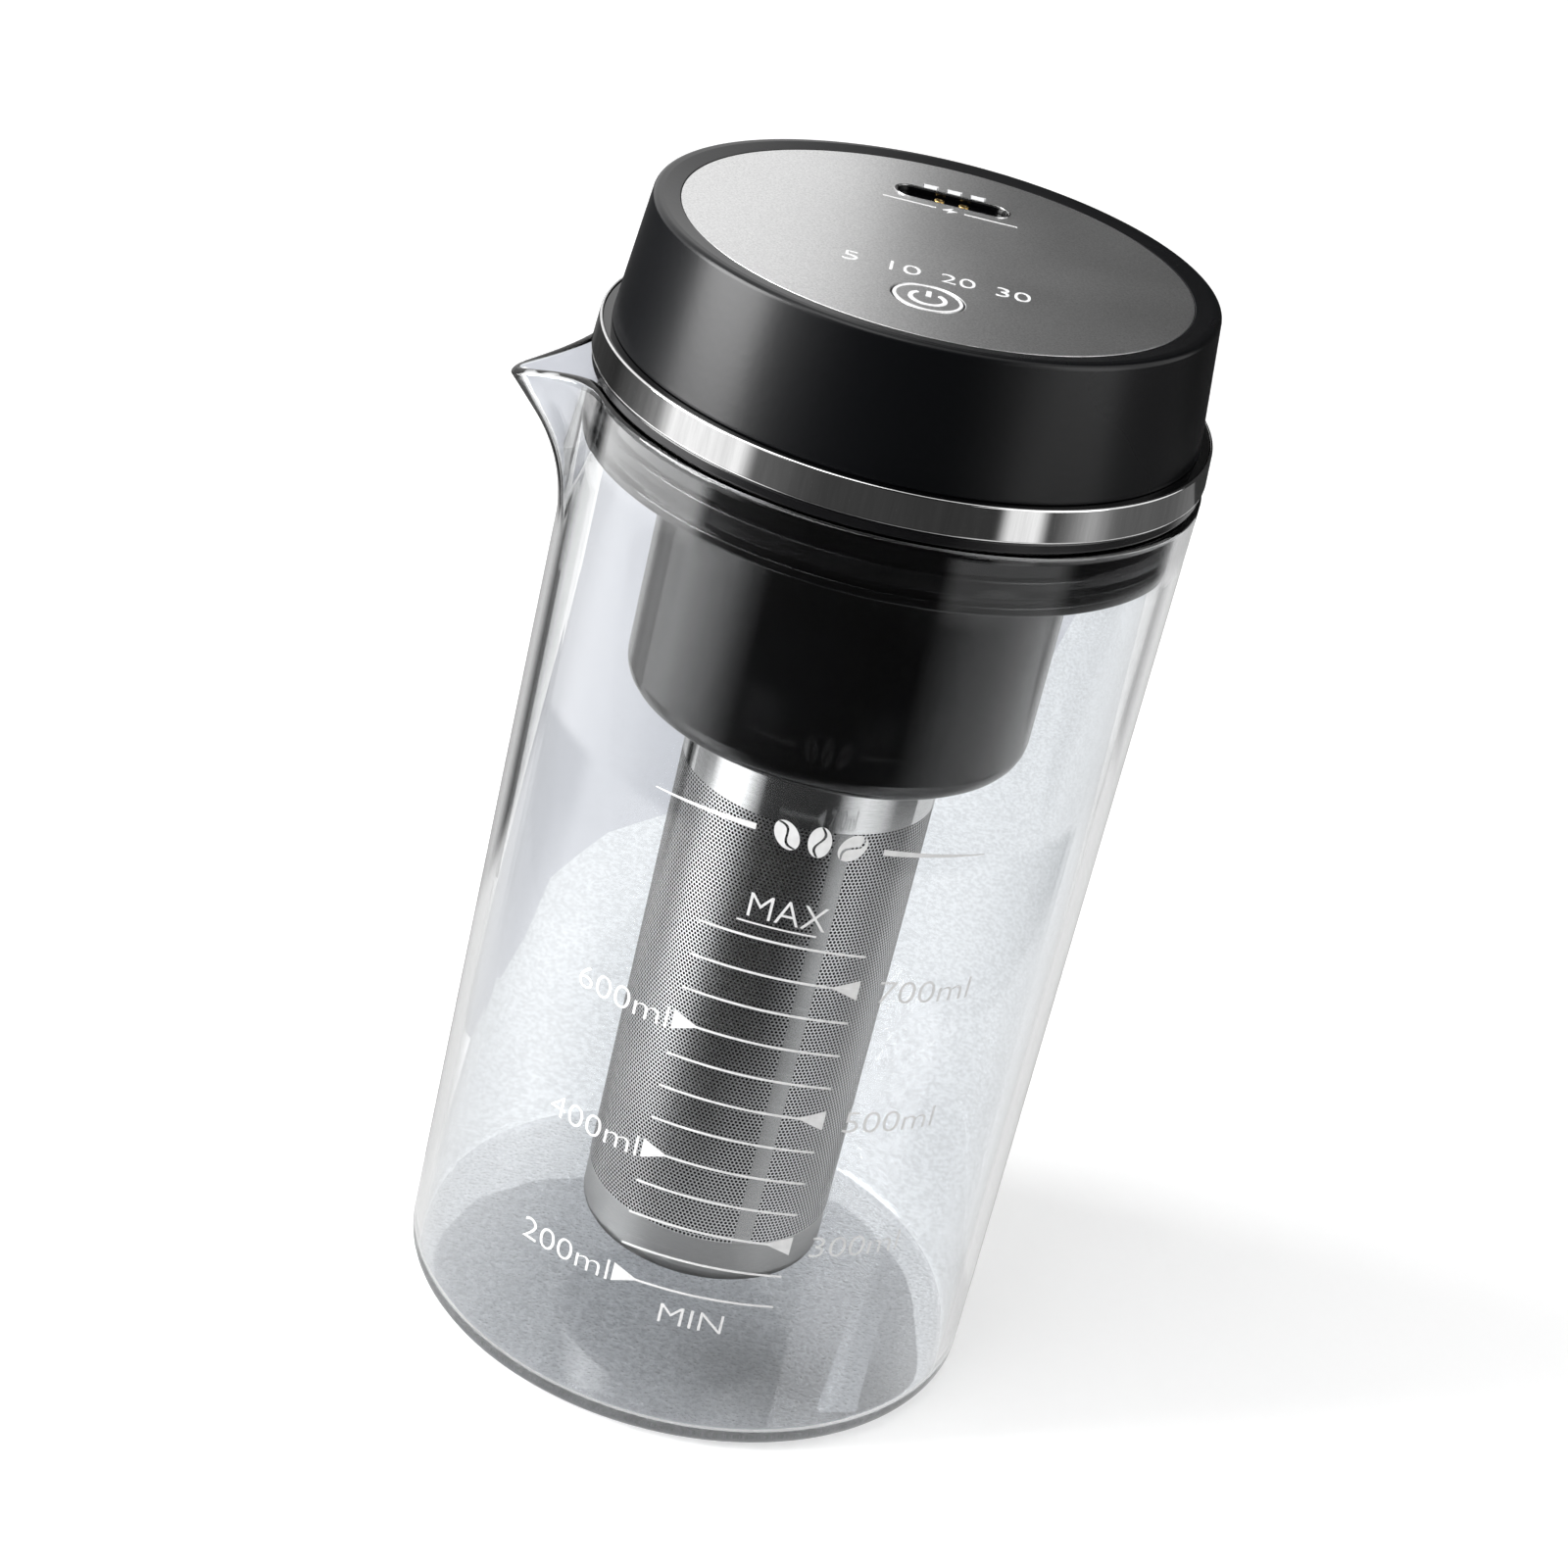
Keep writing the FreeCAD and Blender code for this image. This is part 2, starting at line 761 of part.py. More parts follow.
def glass_carafe():
    """The drawn outside less the drawn bore, with a rounded foot and a rounded corner in the bore."""
    radius = dim.glass_radius.value
    bore = glass_bore.value
    floor = dim.glass_floor.value
    start = lip_stations()[0]
    outside = drawn_wall(0.0, 0.0, 0.0)
    foot = [edge for edge in outside.Edges if on_ring(edge, radius, 0.0)]
    outside = outside.makeFillet(dim.foot_round.value, foot)
    below = dim.lip_bend.value / 8
    inside = drawn_wall(dim.glass_wall.value, below, below)
    base = Part.makeCylinder(radius, floor)
    inside = inside.cut(base)
    corner = [edge for edge in inside.Edges if on_ring(edge, bore, floor)]
    inside = inside.makeFillet(dim.bore_round.value, corner)
    shape = outside.cut(inside).cut(slope_cutter())
    feature = doc.addObject("Part::Feature", "GlassCarafe")
    feature.Shape = shape
    feature.Placement.Rotation = FreeCAD.Rotation(FreeCAD.Vector(0, 0, 1), dim.lip_azimuth.value)
    return named("glass_carafe", feature)


# ---------------------------------------------------------------- lid: gasket, band, base and seal


def rim_gasket():
    inner = skirt_radius + dim.fixed_fit
    outer = band_foot_radius - dim.gasket_inset
    ring("rim_gasket", inner, outer, level.gasket_foot, level.band_foot)


def steel_band():
    """A slightly conical polished ring with an inward lip under the flange."""
    lip = skirt_radius + dim.fixed_fit
    turned(
        "steel_band",
        [
            (lip, level.band_foot),
            (band_foot_radius, level.band_foot),
            (band_top_radius, level.band_top),
            (band_bore, level.band_top),
            (band_bore, level.flange_foot),
            (lip, level.flange_foot),
        ],
    )


def lid_base():
    """Flange, plug skirt with its seal groove, floor and register ring, in one moulding."""
    flange = band_bore - dim.fixed_fit
    shell_slope = dim.shell_taper / (level.plate_foot - level.flange_top)
    register_top_radius = register_radius - shell_slope * dim.register_height
    body = turned(
        "lid_base",
        [
            (cup_hole, level.plug_foot),
            (plug_radius, level.plug_foot),
            (plug_radius, level.plug_foot + dim.plug_foot_height),
            (skirt_radius, level.plug_foot + dim.plug_foot_height),
            (skirt_radius, level.groove_foot),
            (seal_groove, level.groove_foot),
            (seal_groove, level.groove_top),
            (skirt_radius, level.groove_top),
            (skirt_radius, level.flange_foot),
            (flange, level.flange_foot),
            (flange, level.flange_top),
            (register_radius, level.flange_top),
            (register_top_radius, level.flange_top + dim.register_height),
            (skirt_bore, level.flange_top + dim.register_height),
            (skirt_bore, level.plug_floor),
            (cup_hole, level.plug_floor),
        ],
    )
    bosses = new_sketch(body, "XY_Plane", level.plug_floor)
    pilots = new_sketch(body, "XY_Plane", level.cup_flange_top)
    for x, y in chassis_screw_places:
        add_circle(bosses, x, y, dim.chassis_boss_radius)
        add_circle(pilots, x, y, dim.screw_radius + dim.screw_fit)
    pad(body, bosses, level.cup_flange_top - level.plug_floor)
    pocket(body, pilots, dim.screw_bite)
    round_ring(body, plug_radius, level.plug_foot, dim.plug_foot_round)


def plug_seal():
    """A silicone sleeve in the skirt's groove, with two lips that meet the glass."""
    inner = seal_groove + dim.fixed_fit
    foot = level.groove_foot + dim.fixed_fit
    step = (dim.seal_height - dim.fixed_fit * 2) / 5
    valley = (plug_radius + skirt_radius) / 2
    turned(
        "plug_seal",
        [
            (inner, foot),
            (skirt_radius, foot),
            (plug_radius, foot + step),
            (valley, foot + step * 2),
            (valley, foot + step * 3),
            (plug_radius, foot + step * 4),
            (skirt_radius, foot + step * 5),
            (inner, foot + step * 5),
        ],
    )


# ---------------------------------------------------------------- lid: shell, panel and button


def add_slot(sketch, x, y, length, width):
    """A slot with half-round ends, along X."""
    reach = (length - width) / 2
    radius = width / 2
    first = sketch.GeometryCount
    for side in (1, -1):
        centre = FreeCAD.Vector(x.value + side * reach.value, y.value, 0)
        circle = Part.Circle(centre, FreeCAD.Vector(0, 0, 1), radius.value)
        start = -math.pi / 2 * side
        sketch.addGeometry(Part.ArcOfCircle(circle, start, start + math.pi))
    top = y.value + radius.value
    low = y.value - radius.value
    right = x.value + reach.value
    left = x.value - reach.value
    sketch.addGeometry(Part.LineSegment(FreeCAD.Vector(right, top, 0), FreeCAD.Vector(left, top, 0)))
    sketch.addGeometry(Part.LineSegment(FreeCAD.Vector(left, low, 0), FreeCAD.Vector(right, low, 0)))
    free = [
        ("Coincident", first, 2, first + 2, 1),
        ("Coincident", first + 2, 2, first + 1, 1),
        ("Coincident", first + 1, 2, first + 3, 1),
        ("Coincident", first + 3, 2, first, 1),
    ]
    driven = []
    for number, side in ((first, 1), (first + 1, -1)):
        centre_x = x + reach * side
        driven.append((centre_x, "DistanceX", -1, 1, number, 3))
        driven.append((y, "DistanceY", -1, 1, number, 3))
        driven.append((centre_x, "DistanceX", -1, 1, number, 1))
        driven.append((centre_x, "DistanceX", -1, 1, number, 2))
        driven.append((radius, "Radius", number))
    constrain_together(sketch, free, driven)


def add_pipe_slots(sketch, gap):
    for x in pipe_places:
        add_rectangle(sketch, x, pipe_back, dim.pipe_length + gap * 2, dim.pipe_width + gap * 2)


def lid_shell():
    """The conical outer shell with its bevelled border round the panel's recess."""
    body = turned(
        "lid_shell",
        [
            (0, level.plate_foot),
            (shell_top_radius - dim.shell_wall, level.plate_foot),
            (shell_foot_radius - dim.shell_wall, level.flange_top),
            (shell_foot_radius, level.flange_top),
            (shell_top_radius, level.shell_top),
            (panel_radius + dim.border_width, level.shell_top),
            (panel_radius, level.panel_top),
            (panel_radius, level.plate_top),
            (0, level.plate_top),
        ],
        rounds=[(shell_top_radius, level.shell_top, dim.shell_round)],
    )
    sketch = new_sketch(body, "XY_Plane", level.plate_top)
    flange_hole = dim.button_radius + dim.button_flange + dim.button_gap
    add_circle(sketch, 0, -button_front, flange_hole)
    for x in timer_places:
        add_circle(sketch, x, -timer_front, dim.light_well_radius)
    add_slot(sketch, dim.port_side, port_back, port_cut_length, port_cut_width)
    add_pipe_slots(sketch, dim.panel_gap)
    pocket(body, sketch, dim.shell_plate)


def control_panel():
    body = new_body("control_panel")
    disc = new_sketch(body, "XY_Plane", level.plate_top)
    add_circle(disc, 0, 0, panel_radius - dim.panel_gap)
    pad(body, disc, dim.panel_thickness)
    sketch = new_sketch(body, "XY_Plane", level.panel_top)
    add_circle(sketch, 0, -button_front, dim.button_radius + dim.button_gap)
    add_slot(sketch, dim.port_side, port_back, port_cut_length, port_cut_width)
    add_pipe_slots(sketch, dim.panel_gap)
    pocket(body, sketch, dim.panel_thickness)
    round_ring(body, panel_radius - dim.panel_gap, level.panel_top, dim.panel_round)


def power_button():
    """A flush cap with a flange that the panel keeps in, and the switch plunger under it."""
    flange = dim.button_radius + dim.button_flange
    turned(
        "power_button",
        [
            (0, level.button_foot),
            (flange, level.button_foot),
            (flange, level.button_flange_top),
            (dim.button_radius, level.button_flange_top),
            (dim.button_radius, level.panel_top),
            (0, level.panel_top),
        ],
        y=-button_front,
        rounds=[(dim.button_radius, level.panel_top, dim.panel_round)],
    )
    foot = level.board_top + dim.switch_height - dim.plunger_depth
    plunger = cylinder(dim.plunger_radius, foot, level.button_foot, y=-button_front)
    named("switch_plunger", plunger)


def tact_switch():
    half = dim.switch_width / 2
    top = level.board_top + dim.switch_height
    case = box((-half, half), (-button_front - half, -button_front + half), (level.board_top, top))
    bore = cylinder(
        dim.plunger_radius + dim.button_gap, top - dim.switch_bore_depth, top, y=-button_front
    )
    named("tact_switch", cut(case, bore))


# ---------------------------------------------------------------- lid: charging socket and lights


def charging_socket():
    """A recessed moulding flush with the panel, with a flange under the shell's plate."""
    body = new_body("charging_socket")
    flange = new_sketch(body, "XY_Plane", level.port_foot)
    flange_length = dim.port_length + dim.port_flange * 2
    flange_width = dim.port_width + dim.port_flange_edge * 2
    add_slot(flange, dim.port_side, port_back, flange_length, flange_width)
    pad(body, flange, level.plate_foot - level.port_foot)
    neck = new_sketch(body, "XY_Plane", level.plate_foot)
    add_slot(neck, dim.port_side, port_back, dim.port_length, dim.port_width)
    pad(body, neck, level.panel_top - level.plate_foot)
    recess = new_sketch(body, "XY_Plane", level.panel_top)
    shrink = dim.port_wall * 2
    add_slot(recess, dim.port_side, port_back, dim.port_length - shrink, dim.port_width - shrink)
    pocket(body, recess, dim.port_recess)
    seats = new_sketch(body, "XY_Plane", level.port_foot + dim.magnet_height)
    for x in magnet_places:
        add_circle(seats, x, port_back, dim.magnet_radius + dim.fixed_fit)
    pocket(body, seats, dim.magnet_height)
    holes = new_sketch(body, "XY_Plane", level.port_floor)
    for x in contact_places:
        add_circle(holes, x, port_back, dim.contact_stem_radius + dim.fixed_fit)
    pocket(body, holes, level.port_floor - level.port_foot)


def charging_contacts():
    contacts = []
    for x in contact_places:
        button = cylinder(
            dim.contact_radius, level.port_floor, level.port_floor + dim.contact_rise, x, port_back
        )
        stem = cylinder(dim.contact_stem_radius, level.board_top, level.port_floor, x, port_back)
        contacts.append(fuse([button, stem]))
    group("charging_contacts", contacts)


def charging_magnets():
    foot = level.port_foot
    top = foot + dim.magnet_height
    group(
        "charging_magnets",
        [cylinder(dim.magnet_radius, foot, top, x, port_back) for x in magnet_places],
    )


def charge_lights():
    """Three clear pipes from the board up to the panel's face, behind the socket."""
    pipes = []
    for x in pipe_places:
        across = (x - dim.pipe_length / 2, x + dim.pipe_length / 2)
        along = (pipe_back - dim.pipe_width / 2, pipe_back + dim.pipe_width / 2)
        pipes.append(box(across, along, (level.board_top, level.panel_top)))
    group("charge_lights", pipes)


def timer_lights():
    lights = []
    for x in timer_places:
        across = (x - dim.timer_light_length / 2, x + dim.timer_light_length / 2)
        along = (
            -timer_front - dim.timer_light_width / 2,
            -timer_front + dim.timer_light_width / 2,
        )
        lights.append(box(across, along, (level.board_top, level.board_top + dim.timer_light_height)))
    group("timer_lights", lights)


# ---------------------------------------------------------------- lid: board, chassis and battery


def circuit_board():
    body = new_body("circuit_board")
    disc = new_sketch(body, "XY_Plane", level.board_foot)
    add_circle(disc, 0, 0, board_radius)
    pad(body, disc, dim.board_thickness)
    holes = new_sketch(body, "XY_Plane", level.board_top)
    for x, y in board_screw_places:
        add_circle(holes, x, y, dim.screw_radius + dim.screw_fit)
    pocket(body, holes, dim.board_thickness)


def board_screws():
    foot = level.board_foot - dim.screw_bite + dim.screw_end_gap
    group("board_screws", [screw(level.board_top, foot, x, y) for x, y in board_screw_places])


def board_chips():
    """The charge controller and the timer chip, on the board's upper face."""
    half = dim.chip_width / 2
    chips = []
    for side in (-1, 1):
        x = dim.chip_side * side
        upright = (level.board_top, level.board_top + dim.chip_height)
        chips.append(box((x - half, x + half), (-half, half), upright))
    group("board_chips", chips)


def chassis():
    """A plate on the cup's flange that carries the battery's saddles and the board's posts."""
    body = new_body("chassis")
    disc = new_sketch(body, "XY_Plane", level.cup_flange_top)
    add_circle(disc, 0, 0, skirt_bore - dim.chassis_gap)
    pad(body, disc, dim.chassis_plate)
    openings = new_sketch(body, "XY_Plane", level.chassis_top)
    window_width = (dim.motor_radius + dim.chassis_window_side) * 2
    window_depth = (dim.motor_radius + dim.chassis_window_end) * 2
    add_rectangle(openings, as_size(0), motor_front, window_width, window_depth)
    for x, y in chassis_screw_places:
        add_circle(openings, x, y, dim.screw_radius + dim.screw_fit)
    pocket(body, openings, dim.chassis_plate)
    posts = new_sketch(body, "XY_Plane", level.chassis_top)
    pilots = new_sketch(body, "XY_Plane", level.board_foot)
    for x, y in board_screw_places:
        add_circle(posts, x, y, dim.board_post_radius)
        add_circle(pilots, x, y, dim.screw_radius + dim.screw_fit)
    pad(body, posts, level.board_foot - level.chassis_top)
    pocket(body, pilots, dim.screw_bite)
    saddles = new_sketch(body, "XY_Plane", level.chassis_top)
    saddle_width = (dim.cell_radius + dim.saddle_wall) * 2
    for side in (-1, 1):
        x = dim.saddle_pitch / 2 * side
        add_rectangle(saddles, x, dim.cell_back, dim.saddle_thickness, saddle_width)
    pad(body, saddles, level.cell_axis - level.chassis_top)
    trough = new_sketch(body, "YZ_Plane")
    add_circle(trough, dim.cell_back, level.cell_axis, dim.cell_radius + dim.cell_gap)
    before = volume_of(body)
    cradle = add_feature(body, "Pocket", trough)
    bind(cradle, "Length", dim.cell_length)
    cradle.Midplane = True
    if volume_of(body) > before - TOUCH:
        raise RuntimeError("the battery's trough cut nothing")
    stops = new_sketch(body, "XY_Plane", level.chassis_top)
    for side in (-1, 1):
        x = (cell_end + dim.end_stop_thickness / 2) * side
        add_rectangle(stops, x, dim.cell_back, dim.end_stop_thickness, dim.tab_width + dim.saddle_wall * 2)
    pad(body, stops, dim.cell_radius + dim.cell_lift + dim.tab_width / 2)


def chassis_screws():
    foot = level.cup_flange_top - dim.screw_bite + dim.screw_end_gap
    group("chassis_screws", [screw(level.chassis_top, foot, x, y) for x, y in chassis_screw_places])


def battery():
    named("battery_cell", lying_cylinder(dim.cell_radius, dim.cell_length, dim.cell_back, level.cell_axis))
    half = dim.tab_width / 2
    along = (dim.cell_back - half, dim.cell_back + half)
    upright = (level.cell_axis - half, level.cell_axis + half)
    end = dim.cell_length / 2
    tabs = [box((end, end + dim.tab_thickness), along, upright)]
    tabs.append(box((-end - dim.tab_thickness, -end), along, upright))
    group("cell_tabs", tabs)


# ---------------------------------------------------------------- motor cup and what it holds


def motor_cup():
    """The deep cup below the plug, with the shaft's boss and the gear plate's posts."""
    flange = cup_radius + dim.cup_flange_width
    body = turned(
        "motor_cup",
        [
            (dim.seal_radius, level.cup_bottom),
            (cup_radius, level.cup_bottom),
            (cup_radius, level.cup_flange_foot),
            (flange, level.cup_flange_foot),
            (flange, level.cup_flange_top),
            (cup_bore, level.cup_flange_top),
            (cup_bore, level.cup_floor),
            (dim.cup_boss_radius, level.cup_floor),
            (dim.cup_boss_radius, level.boss_top),
            (dim.bush_radius, level.boss_top),
            (dim.bush_radius, level.seal_top),
            (dim.seal_radius, level.seal_top),
        ],
        rounds=[(cup_radius, level.cup_bottom, dim.cup_round)],
    )
    posts = new_sketch(body, "XY_Plane", level.cup_floor)
    pilots = new_sketch(body, "XY_Plane", level.gear_plate_foot)
    for x, y in plate_screw_places:
        add_circle(posts, x, y, dim.post_radius)
        add_circle(pilots, x, y, dim.screw_radius + dim.screw_fit)
    pad(body, posts, level.gear_plate_foot - level.cup_floor)
    pocket(body, pilots, dim.screw_bite)


def cup_gasket():
    inner = cup_hole + dim.cup_gasket_inset
    outer = cup_radius + dim.cup_flange_width - dim.cup_gasket_inset
    ring("cup_gasket", inner, outer, level.plug_floor, level.cup_flange_foot)


def shaft_seal():
    inner = dim.shaft_radius + dim.running_fit
    outer = dim.seal_radius - dim.fixed_fit
    ring("shaft_seal", inner, outer, level.cup_bottom, level.seal_top)


def bushes():
    inner = dim.shaft_radius + dim.running_fit
    outer = dim.bush_radius - dim.fixed_fit
    ring("lower_bush", inner, outer, level.seal_top, level.boss_top)
    flange = dim.bush_radius + dim.bush_flange
    turned(
        "upper_bush",
        [
            (inner, level.gear_plate_foot),
            (outer, level.gear_plate_foot),
            (outer, level.gear_plate_top),
            (flange, level.gear_plate_top),
            (flange, level.bush_top),
            (inner, level.bush_top),
        ],
    )


def gear_plate():
    """The plate over the gears: it holds the upper bush and the motor."""
    body = new_body("gear_plate")
    disc = new_sketch(body, "XY_Plane", level.gear_plate_foot)
    add_circle(disc, 0, 0, plate_radius)
    pad(body, disc, dim.plate_thickness)
    holes = new_sketch(body, "XY_Plane", level.gear_plate_top)
    add_circle(holes, 0, 0, dim.bush_radius)
    add_circle(holes, 0, motor_front, dim.motor_nose_radius + dim.fixed_fit)
    for x, y in plate_screw_places + motor_screw_places:
        add_circle(holes, x, y, dim.screw_radius + dim.screw_fit)
    pocket(body, holes, dim.plate_thickness)


def plate_screws():
    foot = level.gear_plate_foot - dim.screw_bite + dim.screw_end_gap
    group("plate_screws", [screw(level.gear_plate_top, foot, x, y) for x, y in plate_screw_places])


# ---------------------------------------------------------------- motor


def motor_case():
    bore = dim.motor_shaft_radius + dim.running_fit
    inner = dim.motor_radius - dim.motor_wall
    body = turned(
        "motor_can",
        [
            (bore, level.gear_plate_top - dim.motor_nose_length),
            (dim.motor_nose_radius, level.gear_plate_top - dim.motor_nose_length),
            (dim.motor_nose_radius, level.gear_plate_top),
            (dim.motor_radius, level.gear_plate_top),
            (dim.motor_radius, level.motor_top),
            (inner, level.motor_top),
            (inner, level.motor_front_wall),
            (bore, level.motor_front_wall),
        ],
        y=motor_front,
        rounds=[(dim.motor_radius, level.gear_plate_top, dim.motor_round)],
    )
    holes = new_sketch(body, "XY_Plane", level.motor_front_wall)
    for side in (-1, 1):
        add_circle(holes, dim.motor_screw_pitch / 2 * side, 0, dim.screw_radius + dim.screw_fit)
    pocket(body, holes, dim.motor_wall)
    turned(
        "motor_end_cap",
        [
            (bore, level.motor_top),
            (dim.motor_radius, level.motor_top),
            (dim.motor_radius, level.end_cap_top),
            (dim.end_boss_radius, level.end_cap_top),
            (dim.end_boss_radius, level.end_boss_top),
            (0, level.end_boss_top),
            (0, level.end_boss_top - dim.motor_wall),
            (bore, level.end_boss_top - dim.motor_wall),
        ],
        y=motor_front,
    )


def motor_magnets():
    """Two arc magnets that line the can."""
    outer = dim.motor_radius - dim.motor_wall - dim.fixed_fit
    inner = outer - dim.magnet_arc_thickness
    foot = level.motor_front_wall + dim.magnet_arc_lift
    top = foot + dim.magnet_arc_length
    arcs = []
    for turn in (0.0, 180.0):
        segment = cylinder(outer, foot, top, y=motor_front)
        bind(segment, "Angle", dim.magnet_arc_angle)
        segment.Placement.Rotation = FreeCAD.Rotation(FreeCAD.Vector(0, 0, 1), turn)
        bind(segment, "Placement.Rotation.Angle", turn - dim.magnet_arc_angle / 2)
        arcs.append(cut(segment, cylinder(inner, foot, top, y=motor_front)))
    group("motor_magnets", arcs)


def motor_rotor():
    """The shaft with its slotted armature and the pinion below the gear plate."""
    foot = level.motor_front_wall + dim.magnet_arc_lift + (dim.magnet_arc_length - dim.armature_length) / 2
    outer = (
        dim.motor_radius
        - dim.motor_wall
        - dim.fixed_fit
        - dim.magnet_arc_thickness
        - dim.armature_gap
    )
    body = new_body("motor_armature", y=motor_front)
    disc = new_sketch(body, "XY_Plane", foot)
    add_circle(disc, 0, 0, outer)
    add_circle(disc, 0, 0, dim.motor_shaft_radius + dim.fixed_fit)
    pad(body, disc, dim.armature_length)
    slot = new_sketch(body, "XY_Plane", foot + dim.armature_length)
    core = dim.armature_core
    add_outline(
        slot,
        [
            (core, -dim.armature_slot / 2),
            (outer + dim.armature_slot, -dim.armature_slot / 2),
            (outer + dim.armature_slot, dim.armature_slot / 2),
            (core, dim.armature_slot / 2),
        ],
    )
    cut_slot = pocket(body, slot, dim.armature_length)
    polar_pattern(body, cut_slot, slot, dim.armature_slots)
    shaft_foot = level.gear_foot - dim.pinion_extra - dim.shaft_stand
    shaft_top = level.end_boss_top - dim.motor_wall - dim.shaft_stand
    named("motor_shaft", cylinder(dim.motor_shaft_radius, shaft_foot, shaft_top, y=motor_front))


def motor_screws():
    top = level.motor_front_wall + dim.shaft_stand
    screws = [screw(level.gear_plate_foot, top, x, y, head_up=False) for x, y in motor_screw_places]
    group("motor_screws", screws)


# ---------------------------------------------------------------- gear pair


def involute(angle):
    return math.tan(angle) - angle


def tooth_half_angle(teeth, radius):
    """Half the angle that a tooth fills at a radius, thinned by half the backlash."""
    pressure = math.radians(dim.pressure_angle.value)
    pitch_radius = gear_module.value * teeth / 2
    base_radius = pitch_radius * math.cos(pressure)
    at_radius = math.acos(min(1.0, base_radius / max(radius, base_radius)))
    thinned = dim.backlash.value / 2 / pitch_radius
    return math.pi / 2 / teeth + involute(pressure) - involute(at_radius) - thinned


def gear_face(teeth, turn):
    """A spur gear's outline with involute flanks."""
    module = gear_module.value
    pitch_radius = module * teeth / 2
    root = pitch_radius - 1.25 * module
    tip = pitch_radius + dim.addendum.value * module
    base = pitch_radius * math.cos(math.radians(dim.pressure_angle.value))
    flank_foot = max(root, base)
    radii = [root] if root < base else []
    radii += [flank_foot + (tip - flank_foot) * share for share in (0.0, 0.35, 0.7, 1.0)]
    points = []
    for number in range(teeth):
        middle = 2 * math.pi * number / teeth + math.radians(turn)
        left = [(radius, middle - tooth_half_angle(teeth, radius)) for radius in radii]
        right = [(radius, middle + tooth_half_angle(teeth, radius)) for radius in reversed(radii)]
        for radius, angle in left + right:
            points.append(FreeCAD.Vector(radius * math.cos(angle), radius * math.sin(angle), 0))
    return Part.Face(Part.makePolygon(points + points[:1]))


def gear(label, teeth, bore, height, width, turn, y=None, hub=None):
    """A gear as a solid of its own, with a hub on both faces where one is given."""
    shape = gear_face(int(teeth.value), turn).extrude(FreeCAD.Vector(0, 0, width.value))
    radius, step = (hub[0].value, hub[1].value) if hub else (0.0, 0.0)
    foot = FreeCAD.Vector(0, 0, -step)
    if hub:
        shape = shape.fuse(Part.makeCylinder(radius, width.value + 2 * step, foot))
    shape = shape.cut(Part.makeCylinder(bore.value, width.value + 2 * step, foot))
    feature = doc.addObject("Part::Feature", "Gear")
    feature.Shape = shape
    place(feature, None, y, height)
    named(label, feature)


def gear_pair():
    """The pinion's space faces the driven gear's tooth on the line of centres."""
    gear(
        "driven_gear",
        dim.driven_teeth,
        dim.shaft_radius + dim.fixed_fit,
        level.gear_foot,
        dim.gear_width,
        -90.0,
        hub=(dim.gear_hub_radius, dim.gear_hub_step),
    )
    gear(
        "motor_pinion",
        dim.pinion_teeth,
        dim.motor_shaft_radius + dim.fixed_fit,
        level.gear_foot - dim.pinion_extra,
        dim.gear_width + dim.pinion_extra * 2,
        90.0 + 180.0 / dim.pinion_teeth.value,
        y=motor_front,
    )


# ---------------------------------------------------------------- drive shaft and hub


def drive_shaft():
    """The shaft from the hub up through both bushes, drilled for the hub's screw."""
    top = level.clip_foot + dim.clip_thickness + dim.shaft_stand
    drill = dim.screw_radius + dim.screw_fit
    turned(
        "drive_shaft",
        [
            (drill, level.hub_foot),
            (dim.shaft_radius, level.hub_foot),
            (dim.shaft_radius, top),
            (0, top),
            (0, level.hub_foot + dim.screw_bite),
            (drill, level.hub_foot + dim.screw_bite),
        ],
    )
    ring(
        "retaining_clip",
        dim.shaft_radius + dim.fixed_fit,
        dim.clip_radius,
        level.clip_foot,
        level.clip_foot + dim.clip_thickness,
    )


def drive_hub():
    """The hub that hangs below the cup and fills the filter's collar; three keys turn the filter."""
    bore = dim.shaft_radius + dim.fixed_fit
    rim_bore = hub_radius - dim.hub_rim_wall
    web_foot = level.hub_top - dim.hub_web
    groove = hub_radius - dim.grip_depth
    body = turned(
        "drive_hub",
        [
            (bore, level.hub_foot),
            (dim.hub_core_radius, level.hub_foot),
            (dim.hub_core_radius, web_foot),
            (rim_bore, web_foot),
            (rim_bore, level.hub_foot),
            (hub_radius, level.hub_foot),
            (hub_radius, level.grip_foot),
            (groove, level.grip_foot),
            (groove, level.grip_foot + dim.grip_height),
            (hub_radius, level.grip_foot + dim.grip_height),
            (hub_radius, level.hub_top),
            (bore, level.hub_top),
        ],
    )
    key = new_sketch(body, "XY_Plane", level.hub_top - dim.key_height)
    half = dim.key_width / 2
    inner = hub_radius - dim.key_root
    outer = dim.filter_radius - dim.key_inset
    add_outline(key, [(inner, -half), (outer, -half), (outer, half), (inner, half)])
    key_pad = pad(body, key, dim.key_height)
    polar_pattern(body, key_pad, key, dim.key_count)
    ring(
        "grip_ring",
        groove + dim.fixed_fit,
        hub_radius + dim.grip_stand,
        level.grip_foot + dim.fixed_fit,
        level.grip_foot + dim.grip_height - dim.fixed_fit,
    )
    head = cylinder(dim.hub_screw_head_radius, level.hub_foot - dim.hub_screw_head_height, level.hub_foot)
    shank_top = level.hub_foot + dim.screw_bite - dim.screw_end_gap
    named("hub_screw", fuse([head, cylinder(dim.screw_radius, level.hub_foot, shank_top)]))


# ---------------------------------------------------------------- filter


